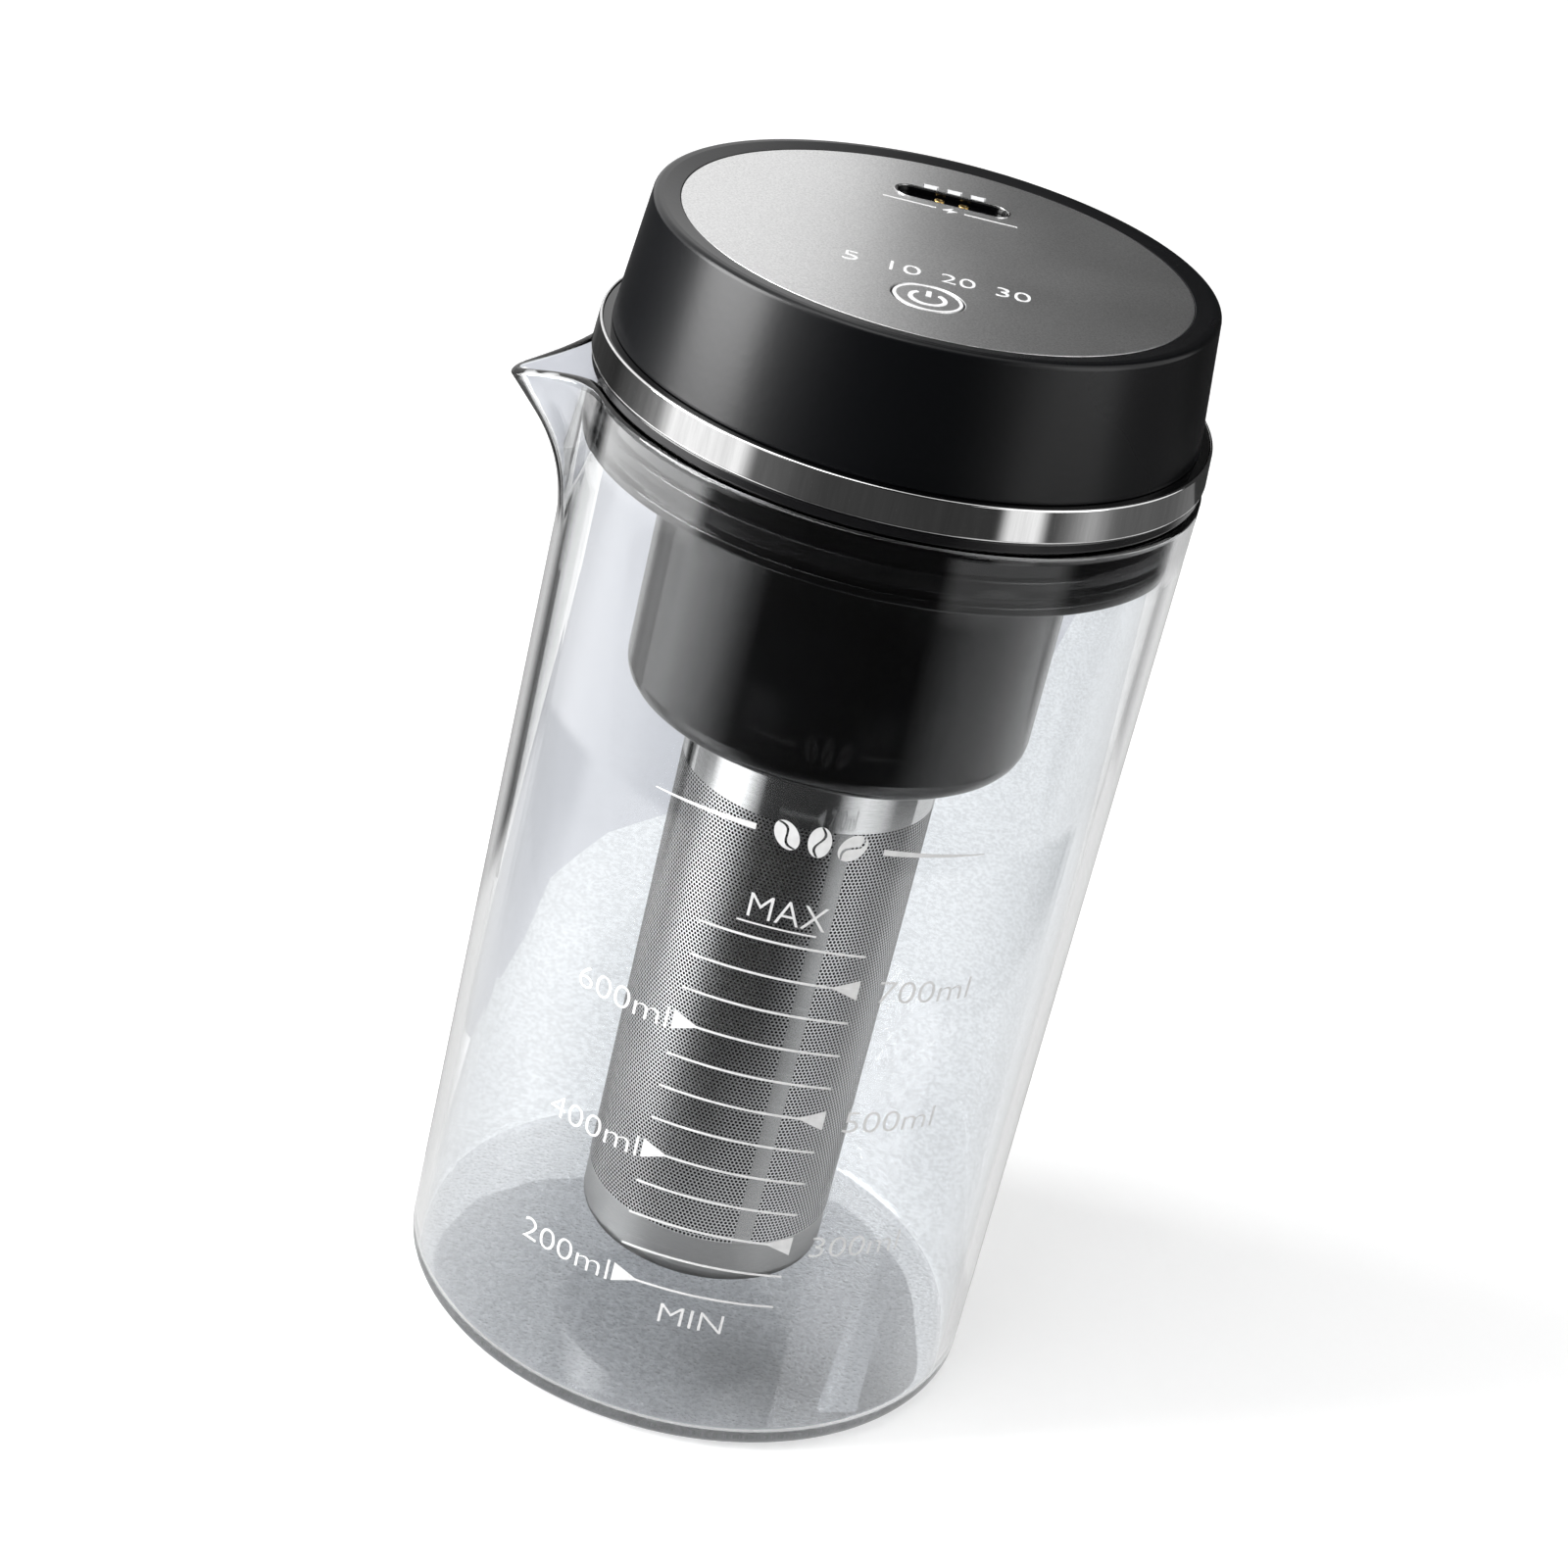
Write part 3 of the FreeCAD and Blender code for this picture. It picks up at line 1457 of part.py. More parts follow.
def filter_collar():
    """The plain steel collar, notched for the hub's keys."""
    ring_shape = [
        (collar_bore, level.mesh_top),
        (dim.filter_radius, level.mesh_top),
        (dim.filter_radius, level.collar_top),
        (collar_bore, level.collar_top),
    ]
    body = turned("filter_collar", ring_shape)
    notch = new_sketch(body, "XY_Plane", level.collar_top)
    half = dim.key_width / 2 + dim.hub_gap
    inner = collar_bore - dim.collar_wall
    outer = dim.filter_radius + dim.collar_wall
    add_outline(notch, [(inner, -half), (outer, -half), (outer, half), (inner, half)])
    depth = level.collar_top - level.hub_top + dim.key_height + dim.hub_gap
    cut_notch = pocket(body, notch, depth)
    polar_pattern(body, cut_notch, notch, dim.key_count)


def filter_sleeve():
    inner = dim.filter_radius - dim.mesh_wall
    ring("filter_sleeve", inner, dim.filter_radius, level.mesh_bottom, level.mesh_top)


def filter_bottom():
    inner = dim.filter_radius - dim.collar_wall
    floor = level.filter_bottom + dim.filter_floor
    turned(
        "filter_bottom",
        [
            (0, level.filter_bottom),
            (dim.filter_radius, level.filter_bottom),
            (dim.filter_radius, level.mesh_bottom),
            (inner, level.mesh_bottom),
            (inner, floor),
            (0, floor),
        ],
        rounds=[
            (dim.filter_radius, level.filter_bottom, dim.filter_foot_round),
            (inner, floor, dim.filter_foot_round - dim.collar_wall),
        ],
    )


# ---------------------------------------------------------------- build, check and write


def write_parts():
    doc.recompute()
    for thing in doc.Objects:
        if "Invalid" in thing.State or "Error" in thing.State:
            raise RuntimeError("%s (%s) failed: %s" % (thing.Label, thing.Name, thing.State))
    os.makedirs("parts", exist_ok=True)
    for label, thing in nodes.items():
        if thing.Shape.isNull() or not thing.Shape.isValid() or not thing.Shape.Solids:
            raise RuntimeError(label + " has no valid solid")
        thing.Shape.exportStep("parts/%s.step" % label)
    print(len(nodes), "sub-parts written")


for build in (
    glass_carafe,
    rim_gasket,
    steel_band,
    lid_base,
    plug_seal,
    lid_shell,
    control_panel,
    power_button,
    tact_switch,
    charging_socket,
    charging_contacts,
    charging_magnets,
    charge_lights,
    timer_lights,
    circuit_board,
    board_screws,
    board_chips,
    chassis,
    chassis_screws,
    battery,
    motor_cup,
    cup_gasket,
    shaft_seal,
    bushes,
    gear_plate,
    plate_screws,
    motor_case,
    motor_magnets,
    motor_rotor,
    motor_screws,
    gear_pair,
    drive_shaft,
    drive_hub,
    filter_collar,
    filter_sleeve,
    filter_bottom,
):
    build()
write_parts()
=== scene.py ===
import math

import bmesh
import bpy
from mathutils import Matrix, Vector


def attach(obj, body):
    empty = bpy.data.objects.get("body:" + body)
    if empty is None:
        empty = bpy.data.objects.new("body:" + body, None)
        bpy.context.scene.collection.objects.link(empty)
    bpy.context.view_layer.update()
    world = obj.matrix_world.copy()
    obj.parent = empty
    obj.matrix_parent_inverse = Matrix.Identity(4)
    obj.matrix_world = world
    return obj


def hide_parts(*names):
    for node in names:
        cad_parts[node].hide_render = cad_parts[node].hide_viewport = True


# Looks of the rechargeable cold brew maker. Lengths below are in millimetres unless they say metres.

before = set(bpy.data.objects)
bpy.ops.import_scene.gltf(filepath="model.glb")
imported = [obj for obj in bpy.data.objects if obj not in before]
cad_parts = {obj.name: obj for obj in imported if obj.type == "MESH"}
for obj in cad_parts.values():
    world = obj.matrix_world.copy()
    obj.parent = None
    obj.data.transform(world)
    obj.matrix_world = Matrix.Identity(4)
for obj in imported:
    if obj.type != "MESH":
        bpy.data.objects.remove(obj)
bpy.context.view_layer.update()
MM = 0.001

# ---------------- sizes shared with the solids

GLASS_RADIUS = 52.0
GLASS_WALL = 2.2
GLASS_FLOOR = 2.2
GLASS_HEIGHT = 175.5
GLASS_BORE = GLASS_RADIUS - GLASS_WALL
GLASS_SKIN = GLASS_RADIUS - 0.06
FOOT_ROUND = 3.0
BORE_ROUND = 1.8
LIP_AZIMUTH = math.radians(187.0)
LIP_REACH = 64.4
LIP_DROP = 4.8
LIP_SLOPE = math.radians(41.4)
LIP_BEND = 28.0
LIP_NOSE = 2.85
LIP_BLEND = 24.0
LIP_LEVEL_RUN = 1.5
NOSE_SPREAD = 0.7
BLEND_SPREAD = 0.25
SHARPEST_NOSE = 0.6
RIM_DEPTH = 0.7

SKIRT_RADIUS = 48.6
SKIRT_BORE = 46.4
PLUG_RADIUS = 49.45
PLUG_FOOT = 164.2
SEAL_SEAT_RADIUS = 47.4
SEAL_SEAT_FOOT = 166.9
SEAL_SEAT_TOP = 170.9
FLANGE_RADIUS = 51.03
FLANGE_FOOT = 178.3
FLANGE_TOP = 183.3
BAND_FOOT = 177.8
BAND_TOP = 183.5
SHELL_FOOT_RADIUS = 49.5
SHELL_TOP_RADIUS = 47.0
SHELL_TOP = 205.7
# The ledge under the panel stays clear of the button and the socket.
LEDGE_RADIUS = 34.0
LEDGE_FOOT = 202.2
PANEL_RADIUS = 42.5
PANEL_FOOT = 203.8
PANEL_TOP = 205.3
BUTTON_RADIUS = 5.7
BUTTON_FRONT = -25.2
PORT_X = 0.4
PORT_Y = 25.5
# The socket's floor and contacts stand higher than in the solids, to show at a shallow angle.
PORT_FLOOR = 204.4
CONTACT_TOP = 204.9
CUP_RADIUS = 35.3
CUP_BORE = 33.1
CUP_BOTTOM = 121.3
CUP_FLOOR = 123.8
FILTER_RADIUS = 22.4
FILTER_BOTTOM = 13.8
FILTER_FOOT_ROUND = 2.8
MESH_BOTTOM = 23.3
MESH_TOP = 108.7
SCALE_FOOT = 31.3
SCALE_STEP = 6.46

# ---------------- node material helpers


class Look:
    """A material with a Principled shader and the procedural nodes that feed it."""

    def __init__(self, name, **sockets):
        self.material = bpy.data.materials.new(name)
        self.material.use_nodes = True
        self.tree = self.material.node_tree
        self.shader = self.tree.nodes["Principled BSDF"]
        for socket, value in sockets.items():
            self.shader.inputs[socket.replace("_", " ")].default_value = value
        self.place = self.add("ShaderNodeTexCoord").outputs["Object"]

    def add(self, kind, inputs=None, **settings):
        node = self.tree.nodes.new(kind)
        for key, value in settings.items():
            setattr(node, key, value)
        for key, value in (inputs or {}).items():
            if isinstance(value, bpy.types.NodeSocket):
                self.tree.links.new(value, node.inputs[key])
            else:
                node.inputs[key].default_value = value
        return node

    def math(self, operation, first, second=0.0):
        node = self.add("ShaderNodeMath", {0: first, 1: second}, operation=operation)
        return node.outputs[0]

    def noise(self, scale, detail=3.0, roughness=0.5, stretch=None):
        """Noise over the object's own space; scale is in cells per metre."""
        place = self.place
        if stretch:
            place = self.add("ShaderNodeMapping", {"Vector": place, "Scale": stretch}).outputs[0]
        settings = {"Vector": place, "Scale": scale, "Detail": detail, "Roughness": roughness}
        return self.add("ShaderNodeTexNoise", settings).outputs["Fac"]

    def ramp(self, factor, *stops):
        node = self.add("ShaderNodeValToRGB", {"Fac": factor})
        elements = node.color_ramp.elements
        while len(elements) < len(stops):
            elements.new(0.5)
        for element, (position, colour) in zip(elements, stops):
            element.position = position
            element.color = colour if len(colour) == 4 else (*colour, 1.0)
        return node.outputs["Color"]

    def spread(self, factor, low, high):
        """Maps 0..1 to low..high."""
        node = self.add("ShaderNodeMapRange", {"Value": factor, "To Min": low, "To Max": high})
        return node.outputs["Result"]

    def mix(self, factor, first, second):
        node = self.add("ShaderNodeMix", data_type="RGBA")
        for socket, value in ((node.inputs[0], factor), (node.inputs[6], first), (node.inputs[7], second)):
            if isinstance(value, bpy.types.NodeSocket):
                self.tree.links.new(value, socket)
            else:
                socket.default_value = value if isinstance(value, float) else (*value, 1.0)[:4]
        return node.outputs[2]

    def feed(self, socket, output):
        self.tree.links.new(output, self.shader.inputs[socket])
        return self

    def bump(self, height, distance, strength):
        """Bump of a height field; distance is in metres."""
        node = self.add("ShaderNodeBump", {"Height": height, "Distance": distance, "Strength": strength})
        return self.feed("Normal", node.outputs["Normal"])


def grey(level):
    return (level, level, level)


def clear_glass():
    look = Look("clear_glass", Roughness=0.0, IOR=1.47, Transmission_Weight=1.0)
    wave = look.noise(14.0, detail=1.0)
    look.feed("Base Color", look.ramp(wave, (0.3, (0.9, 0.91, 0.916)), (0.7, (0.93, 0.937, 0.942))))
    return look.bump(wave, 0.0002, 0.25).material


def base_glass():
    """The ground underside of the glass, fine-grained and nearly clear."""
    look = Look("base_glass", IOR=1.47, Transmission_Weight=0.88)
    grain = look.noise(1150.0, detail=2.0, roughness=0.6)
    look.feed("Base Color", look.ramp(grain, (0.4, (0.63, 0.645, 0.67)), (0.6, (0.94, 0.955, 0.98))))
    look.feed("Roughness", look.spread(grain, 0.3, 0.5))
    return look.bump(grain, 0.0003, 0.6).material


def moulded(name, colour, roughness, grain=900.0, depth=0.00002, spread=0.06, specular=0.5):
    """Moulded plastic or rubber: an even colour with a fine skin and slow changes in gloss."""
    look = Look(name, Specular_IOR_Level=specular)
    fine = look.noise(grain, detail=4.0)
    slow = look.noise(22.0, detail=2.0)
    dark = tuple(part * 0.86 for part in colour)
    light = tuple(min(1.0, part * 1.16) for part in colour)
    look.feed("Base Color", look.ramp(slow, (0.3, dark), (0.7, light)))
    look.feed("Roughness", look.spread(slow, roughness - spread, roughness + spread))
    return look.bump(fine, depth, 0.5).material


def brushed(name, colour, roughness, stretch, depth=0.00002, spread=0.07):
    """Metal with fine lines drawn out along one direction of the object's space."""
    look = Look(name, Metallic=1.0)
    lines = look.noise(500.0, detail=4.0, roughness=0.65, stretch=stretch)
    slow = look.noise(30.0, detail=2.0)
    dark = tuple(part * 0.88 for part in colour)
    light = tuple(min(1.0, part * 1.1) for part in colour)
    look.feed("Base Color", look.ramp(lines, (0.3, dark), (0.7, light)))
    look.feed("Roughness", look.spread(slow, roughness - spread, roughness + spread))
    return look.bump(lines, depth, 0.6).material


# Holes in one row of the filter's mesh; the other sizes are in millimetres.
HOLES_ROUND = 188
HOLE_RADIUS = 0.24
HOLE_EDGE = 0.29
SEAM_MIDDLE = 8.6
SEAM_HALF_WIDTH = 1.6


def perforated():
    """Fine perforated sheet: rows of round holes, each row half a pitch on, and a plain seam."""
    look = Look("perforated_steel", Metallic=1.0)
    parts = look.add("ShaderNodeSeparateXYZ", {"Vector": look.place}).outputs
    angle = look.math("ARCTAN2", parts["X"], look.math("MULTIPLY", parts["Y"], -1.0))
    along = look.math("MULTIPLY", angle, FILTER_RADIUS)
    pitch = 2 * math.pi * FILTER_RADIUS / HOLES_ROUND
    rise = pitch * math.sqrt(3) / 2
    rows = look.math("DIVIDE", look.math("MULTIPLY", parts["Z"], 1000.0), rise)
    odd = look.math("MODULO", look.math("FLOOR", rows), 2.0)
    shifted = look.math("ADD", look.math("DIVIDE", along, pitch), look.math("MULTIPLY", odd, 0.5))
    across = look.math("SUBTRACT", look.math("FRACT", shifted), 0.5)
    upward = look.math("SUBTRACT", look.math("FRACT", rows), 0.5)
    across = look.math("MULTIPLY", across, pitch)
    upward = look.math("MULTIPLY", upward, rise)
    squares = look.math("ADD", look.math("POWER", across, 2.0), look.math("POWER", upward, 2.0))
    distance = look.math("SQRT", squares)
    edge = {"Value": distance, "From Min": HOLE_RADIUS, "From Max": HOLE_EDGE}
    hole = look.add("ShaderNodeMapRange", edge)
    from_seam = look.math("ABSOLUTE", look.math("SUBTRACT", along, SEAM_MIDDLE))
    plain = look.math("LESS_THAN", from_seam, SEAM_HALF_WIDTH)
    solid = look.math("MAXIMUM", hole.outputs["Result"], plain)
    slow = look.noise(40.0, detail=2.0)
    steel = look.ramp(slow, (0.3, grey(0.74)), (0.7, grey(0.86)))
    seam = look.ramp(slow, (0.3, grey(0.46)), (0.7, grey(0.54)))
    # The holes are painted near black: painted shade for the dark inside of the sleeve that would show
    # through them.
    look.feed("Base Color", look.mix(solid, grey(0.004), look.mix(plain, steel, seam)))
    look.feed("Roughness", look.spread(solid, 0.7, 0.22))
    look.feed("Metallic", look.spread(solid, 0.7, 1.0))
    return look.bump(solid, 0.00003, 0.3).material


def metallic_panel():
    """Fine-grained metallic lacquer."""
    look = Look("panel_lacquer", Metallic=1.0)
    fleck = look.noise(2600.0, detail=2.0, roughness=0.8)
    look.feed("Base Color", look.ramp(fleck, (0.3, grey(0.63)), (0.7, grey(0.91))))
    look.feed("Roughness", look.spread(look.noise(60.0), 0.3, 0.36))
    return look.bump(fleck, 0.00002, 0.5).material


def printed(name, low, high):
    """Printing ink between two greys."""
    look = Look(name)
    grain = look.noise(700.0)
    look.feed("Base Color", look.ramp(grain, (0.3, grey(low)), (0.7, grey(high))))
    look.feed("Roughness", look.spread(grain, 0.4, 0.55))
    return look.material


def circuit():
    """Solder mask over square-cornered tracks."""
    look = Look("circuit", Roughness=0.35)
    tracks = look.add("ShaderNodeTexBrick", {"Vector": look.place, "Scale": 160.0}).outputs["Fac"]
    slow = look.noise(60.0)
    mask = look.ramp(slow, (0.3, (0.012, 0.1, 0.045)), (0.7, (0.018, 0.14, 0.06)))
    look.feed("Base Color", look.mix(tracks, mask, (0.03, 0.22, 0.09)))
    return look.bump(tracks, 0.00003, 0.5).material


GLOSS_BLACK = (0.0015, 0.0015, 0.0018)
MATERIALS = {
    "glass": clear_glass(),
    "base_glass": base_glass(),
    "charcoal": moulded("charcoal", (0.0018, 0.002, 0.0026), 0.28, specular=0.31),
    "gloss_black": moulded("gloss_black", GLOSS_BLACK, 0.09, grain=120.0, depth=0.000001, spread=0.03),
    "cup_black": moulded("cup_black", GLOSS_BLACK, 0.09, 120.0, 0.000001, 0.03, specular=1.0),
    "matte_black": moulded("matte_black", (0.02, 0.02, 0.021), 0.5),
    "silicone": moulded("silicone", (0.004, 0.004, 0.0045), 0.2, grain=400.0, depth=0.000001),
    "panel": metallic_panel(),
    "polished": brushed("polished", grey(0.86), 0.07, (1.0, 1.0, 0.02), 0.000001, 0.02),
    "collar_steel": brushed("collar_steel", grey(0.84), 0.07, (1.0, 1.0, 24.0), 0.000002, 0.02),
    "foot_steel": brushed("foot_steel", grey(0.52), 0.42, (1.0, 1.0, 24.0), 0.000004, 0.04),
    "perforated": perforated(),
    "steel": brushed("machined_steel", grey(0.55), 0.3, (1.0, 1.0, 12.0)),
    "gold": brushed("gold_contact", (0.9, 0.6, 0.2), 0.2, (1.0, 1.0, 1.0), 0.000004),
    "light": moulded("frosted_light", (0.88, 0.89, 0.9), 0.45, grain=500.0),
    "print": printed("print_white", 0.56, 0.64),
    "panel_print": printed("panel_print", 0.84, 0.92),
    "nylon": moulded("nylon", (0.74, 0.71, 0.62), 0.45),
    "bronze": brushed("bronze", (0.62, 0.4, 0.18), 0.4, (1.0, 1.0, 1.0)),
    "copper": brushed("copper_wire", (0.72, 0.3, 0.13), 0.35, (1.0, 1.0, 60.0), 0.0001),
    "magnet": moulded("magnet", (0.06, 0.06, 0.065), 0.4),
    "wrap": moulded("cell_wrap", (0.03, 0.14, 0.42), 0.3, grain=200.0),
    "circuit": circuit(),
}

# ---------------- mesh helpers


def linked(name, data):
    """An object in the scene for a mesh, a lamp or a camera."""
    thing = bpy.data.objects.new(name, data)
    bpy.context.scene.collection.objects.link(thing)
    return thing


def new_piece(name, mesh, material, body, sharp=30.0):
    piece = linked(name, mesh)
    if material and not mesh.materials:
        mesh.materials.append(MATERIALS[material])
    mesh.shade_smooth()
    mesh.set_sharp_from_angle(angle=math.radians(sharp))
    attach(piece, body)
    return piece


# Straight run at either end of a rounding, so that smooth shading doesn't bend the flat beside it.
LEAD = 0.05
ARC_STEPS = 6


def arc_corner(before, corner, after, radius):
    """Points that round a corner of a flat outline."""
    corner = Vector(corner)
    first = (Vector(before) - corner).normalized()
    last = (Vector(after) - corner).normalized()
    half = first.angle(last) / 2
    reach = radius / math.tan(half)
    centre = corner + (first + last).normalized() * radius / math.sin(half)
    start = corner + first * reach - centre
    end = corner + last * reach - centre
    sweep = start.angle(end)
    points = [tuple(corner + first * (reach + LEAD))]
    for step in range(ARC_STEPS + 1):
        share = step / ARC_STEPS
        blend = start * math.sin((1 - share) * sweep) + end * math.sin(share * sweep)
        points.append(tuple(centre + blend / math.sin(sweep)))
    return points + [tuple(corner + last * (reach + LEAD))]


def rounded_outline(corners):
    """An outline from (x, y) or (x, y, rounding) corners."""
    points = []
    count = len(corners)
    for number, corner in enumerate(corners):
        if len(corner) == 2:
            points.append(corner)
            continue
        before = corners[number - 1][:2]
        after = corners[(number + 1) % count][:2]
        points += arc_corner(before, corner[:2], after, corner[2])
    return points


def lathe_mesh(name, corners, segments=256, y=0.0):
    """A closed mesh turned from an outline of (radius, height[, rounding]) corners."""
    outline = rounded_outline(corners)
    count = len(outline)
    places = []
    faces = []
    for step in range(segments):
        angle = 2 * math.pi * step / segments
        for radius, height in outline:
            places.append((radius * math.sin(angle) * MM, (y - radius * math.cos(angle)) * MM, height * MM))
        here, there = step * count, (step + 1) % segments * count
        for number in range(count):
            following = (number + 1) % count
            faces.append((here + number, there + number, there + following, here + following))
    return tidy_mesh(name, places, faces)


def tidy_mesh(name, places, faces):
    """Merges the points that meet on an axis and turns every face outwards."""
    mesh = bpy.data.meshes.new(name)
    mesh.from_pydata(places, [], faces)
    work = bmesh.new()
    work.from_mesh(mesh)
    bmesh.ops.remove_doubles(work, verts=work.verts, dist=1e-7)
    bmesh.ops.dissolve_degenerate(work, edges=work.edges, dist=1e-8)
    bmesh.ops.recalc_face_normals(work, faces=work.faces)
    work.to_mesh(mesh)
    work.free()
    return mesh


def lathe(name, material, body, node, corners, **settings):
    """A turned piece that replaces a node."""
    piece = new_piece(name, lathe_mesh(name, corners, **settings), material, body)
    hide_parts(node)
    return piece


def circle(x, y, radius, count=96):
    return [
        (x + radius * math.cos(2 * math.pi * k / count), y + radius * math.sin(2 * math.pi * k / count))
        for k in range(count)
    ]


def pill(x, y, length, width, count=24):
    reach = (length - width) / 2
    points = []
    for side, start in ((1, -math.pi / 2), (-1, math.pi / 2)):
        for k in range(count + 1):
            angle = start + math.pi * k / count
            points.append((x + side * reach + width / 2 * math.cos(angle), y + width / 2 * math.sin(angle)))
    return points


def rectangle(x, y, length, width):
    return [(x + sx * length / 2, y + sy * width / 2) for sx, sy in ((-1, -1), (1, -1), (1, 1), (-1, 1))]


def plate_mesh(name, loops, foot, top, bevel=0.0):
    """A flat plate between two heights whose outline is the first loop and whose holes are the rest."""
    curve = bpy.data.curves.new(name, "CURVE")
    curve.dimensions = "2D"
    curve.fill_mode = "BOTH"
    curve.extrude = ((top - foot) / 2 - bevel) * MM
    curve.bevel_depth = bevel * MM
    curve.bevel_resolution = 2
    curve.offset = -bevel * MM
    for loop in loops:
        spline = curve.splines.new("POLY")
        spline.points.add(len(loop) - 1)
        for point, (x, y) in zip(spline.points, loop):
            point.co = (x * MM, y * MM, 0, 1)
        spline.use_cyclic_u = True
    return curve_to_mesh(name, curve, (top + foot) / 2)


def curve_to_mesh(name, curve, height=0.0):
    """The filled mesh of a curve, lifted to a height."""
    holder = bpy.data.objects.new(name, curve)
    mesh = bpy.data.meshes.new_from_object(holder)
    bpy.data.objects.remove(holder)
    mesh.transform(Matrix.Translation((0, 0, height * MM)))
    return mesh


def joined(name, meshes):
    """One mesh from several."""
    work = bmesh.new()
    for mesh in meshes:
        work.from_mesh(mesh)
    bmesh.ops.remove_doubles(work, verts=work.verts, dist=1e-8)
    result = bpy.data.meshes.new(name)
    work.to_mesh(result)
    work.free()
    return result


# ---------------- glass


def lip_profile(height):
    """Reach of the keel and how far the lip is drawn out, from 0 to 1, at a height."""
    bend_rise = LIP_BEND * math.sin(LIP_SLOPE)
    bend_run = LIP_BEND * (1 - math.cos(LIP_SLOPE))
    run = LIP_REACH - GLASS_RADIUS - bend_run
    start = GLASS_HEIGHT - LIP_DROP - run / math.tan(LIP_SLOPE) - bend_rise
    above = height - start
    if above <= 0:
        return GLASS_RADIUS, 0.0
    if above < bend_rise:
        reach = GLASS_RADIUS + LIP_BEND - math.sqrt(LIP_BEND**2 - above**2)
    else:
        reach = GLASS_RADIUS + bend_run + (above - bend_rise) * math.tan(LIP_SLOPE)
    return reach, (reach - GLASS_RADIUS) / (LIP_REACH - GLASS_RADIUS)


LEAST_BULGE = 0.035
# The underside is ground up to this height on the rounding of the foot.
GROUND_TOP = 0.9
# Straight run beside the roundings of the foot and the bore.
RUN = 0.2


def drawn_radius(angle, height, inset):
    """Radius of the glass at an angle from the lip's middle; inset is 0 outside and the wall inside."""
    wall = GLASS_BORE if inset else GLASS_SKIN
    reach, bulge = lip_profile(height)
    if bulge <= 0:
        return wall
    share = min(1.0, bulge / LEAST_BULGE)
    if share < 1.0:
        bulge = LEAST_BULGE
        reach = GLASS_RADIUS + LEAST_BULGE * (LIP_REACH - GLASS_RADIUS)
    nose = max(LIP_NOSE / bulge**NOSE_SPREAD - inset, SHARPEST_NOSE)
    blend = LIP_BLEND / bulge**BLEND_SPREAD + inset
    near = reach - inset - nose
    far = wall + blend
    out = math.acos((near**2 + far**2 - (nose + blend) ** 2) / (2 * near * far))
    hollow = (far * math.cos(out), far * math.sin(out))
    run = math.hypot(hollow[0] - near, hollow[1])
    joint = (near + (hollow[0] - near) / run * nose, hollow[1] / run * nose)
    angle = abs(angle)
    if angle >= out:
        radius = wall
    elif angle <= math.atan2(joint[1], joint[0]):
        radius = near * math.cos(angle) + math.sqrt(max(0.0, nose**2 - (near * math.sin(angle)) ** 2))
    else:
        off = angle - out
        radius = far * math.cos(off) - math.sqrt(max(0.0, blend**2 - (far * math.sin(off)) ** 2))
    return wall + (radius - wall) * share


def rim_height(angle, inset):
    """Height of the rim's plane where it meets the wall: level, then falling to the lip's tip."""
    inner = GLASS_RADIUS - LIP_LEVEL_RUN
    fall = LIP_DROP / (LIP_REACH - inner)
    low, high = GLASS_HEIGHT - 2 * LIP_DROP, GLASS_HEIGHT
    for _ in range(30):
        middle = (low + high) / 2
        forward = drawn_radius(angle, middle, inset) * math.cos(angle)
        plane = min(GLASS_HEIGHT, GLASS_HEIGHT - fall * (forward - inner))
        if middle < plane:
            low = middle
        else:
            high = middle
    return (low + high) / 2


def glass_column(angle):
    """(radius, height) points from the outside of the foot over the rim to the middle of the floor."""
    column = [(radius, 0.0) for radius in (0.0, 20.0, 40.0, GLASS_SKIN - FOOT_ROUND - RUN)]
    for step in range(9):
        turn = math.pi / 2 * step / 8
        column.append((GLASS_SKIN - FOOT_ROUND * (1 - math.sin(turn)), FOOT_ROUND * (1 - math.cos(turn))))
    column += [(GLASS_SKIN, height) for height in (FOOT_ROUND + RUN, 30.0, 60.0, 90.0, 110.0, 125.0, 135.0)]
    outer_rim = rim_height(angle, 0.0)
    inner_rim = rim_height(angle, GLASS_WALL)
    rows = 44
    lowest = 140.0
    for step in range(rows + 1):
        height = lowest + (outer_rim - RIM_DEPTH - lowest) * step / rows
        column.append((drawn_radius(angle, height, 0.0), height))
    outer = drawn_radius(angle, outer_rim - RIM_DEPTH, 0.0)
    inner = drawn_radius(angle, inner_rim - RIM_DEPTH, GLASS_WALL)
    for step in range(1, 10):
        turn = math.pi * step / 10
        share = (1 - math.cos(turn)) / 2
        rim = outer_rim + (inner_rim - outer_rim) * share
        column.append((outer + (inner - outer) * share, rim - RIM_DEPTH * (1 - math.sin(turn))))
    for step in range(rows + 1):
        height = inner_rim - RIM_DEPTH + (lowest - inner_rim + RIM_DEPTH) * step / rows
        column.append((drawn_radius(angle, height, GLASS_WALL), height))
    heights = (135.0, 125.0, 110.0, 90.0, 60.0, 30.0, GLASS_FLOOR + BORE_ROUND + RUN)
    column += [(GLASS_BORE, height) for height in heights]
    for step in range(9):
        turn = math.pi / 2 * step / 8
        radius = GLASS_BORE - BORE_ROUND * (1 - math.cos(turn))
        column.append((radius, GLASS_FLOOR + BORE_ROUND * (1 - math.sin(turn))))
    column += [(radius, GLASS_FLOOR) for radius in (GLASS_BORE - BORE_ROUND - RUN, 40.0, 20.0, 0.0)]
    return column


def glass_angles():
    """Angles round the glass, close together across the lip."""
    fine = [math.radians(0.4 * step) for step in range(0, 60)]
    wide = [math.radians(24.0 + 1.5 * step) for step in range(0, 209)]
    return fine + wide + [-angle for angle in reversed(fine[1:])]


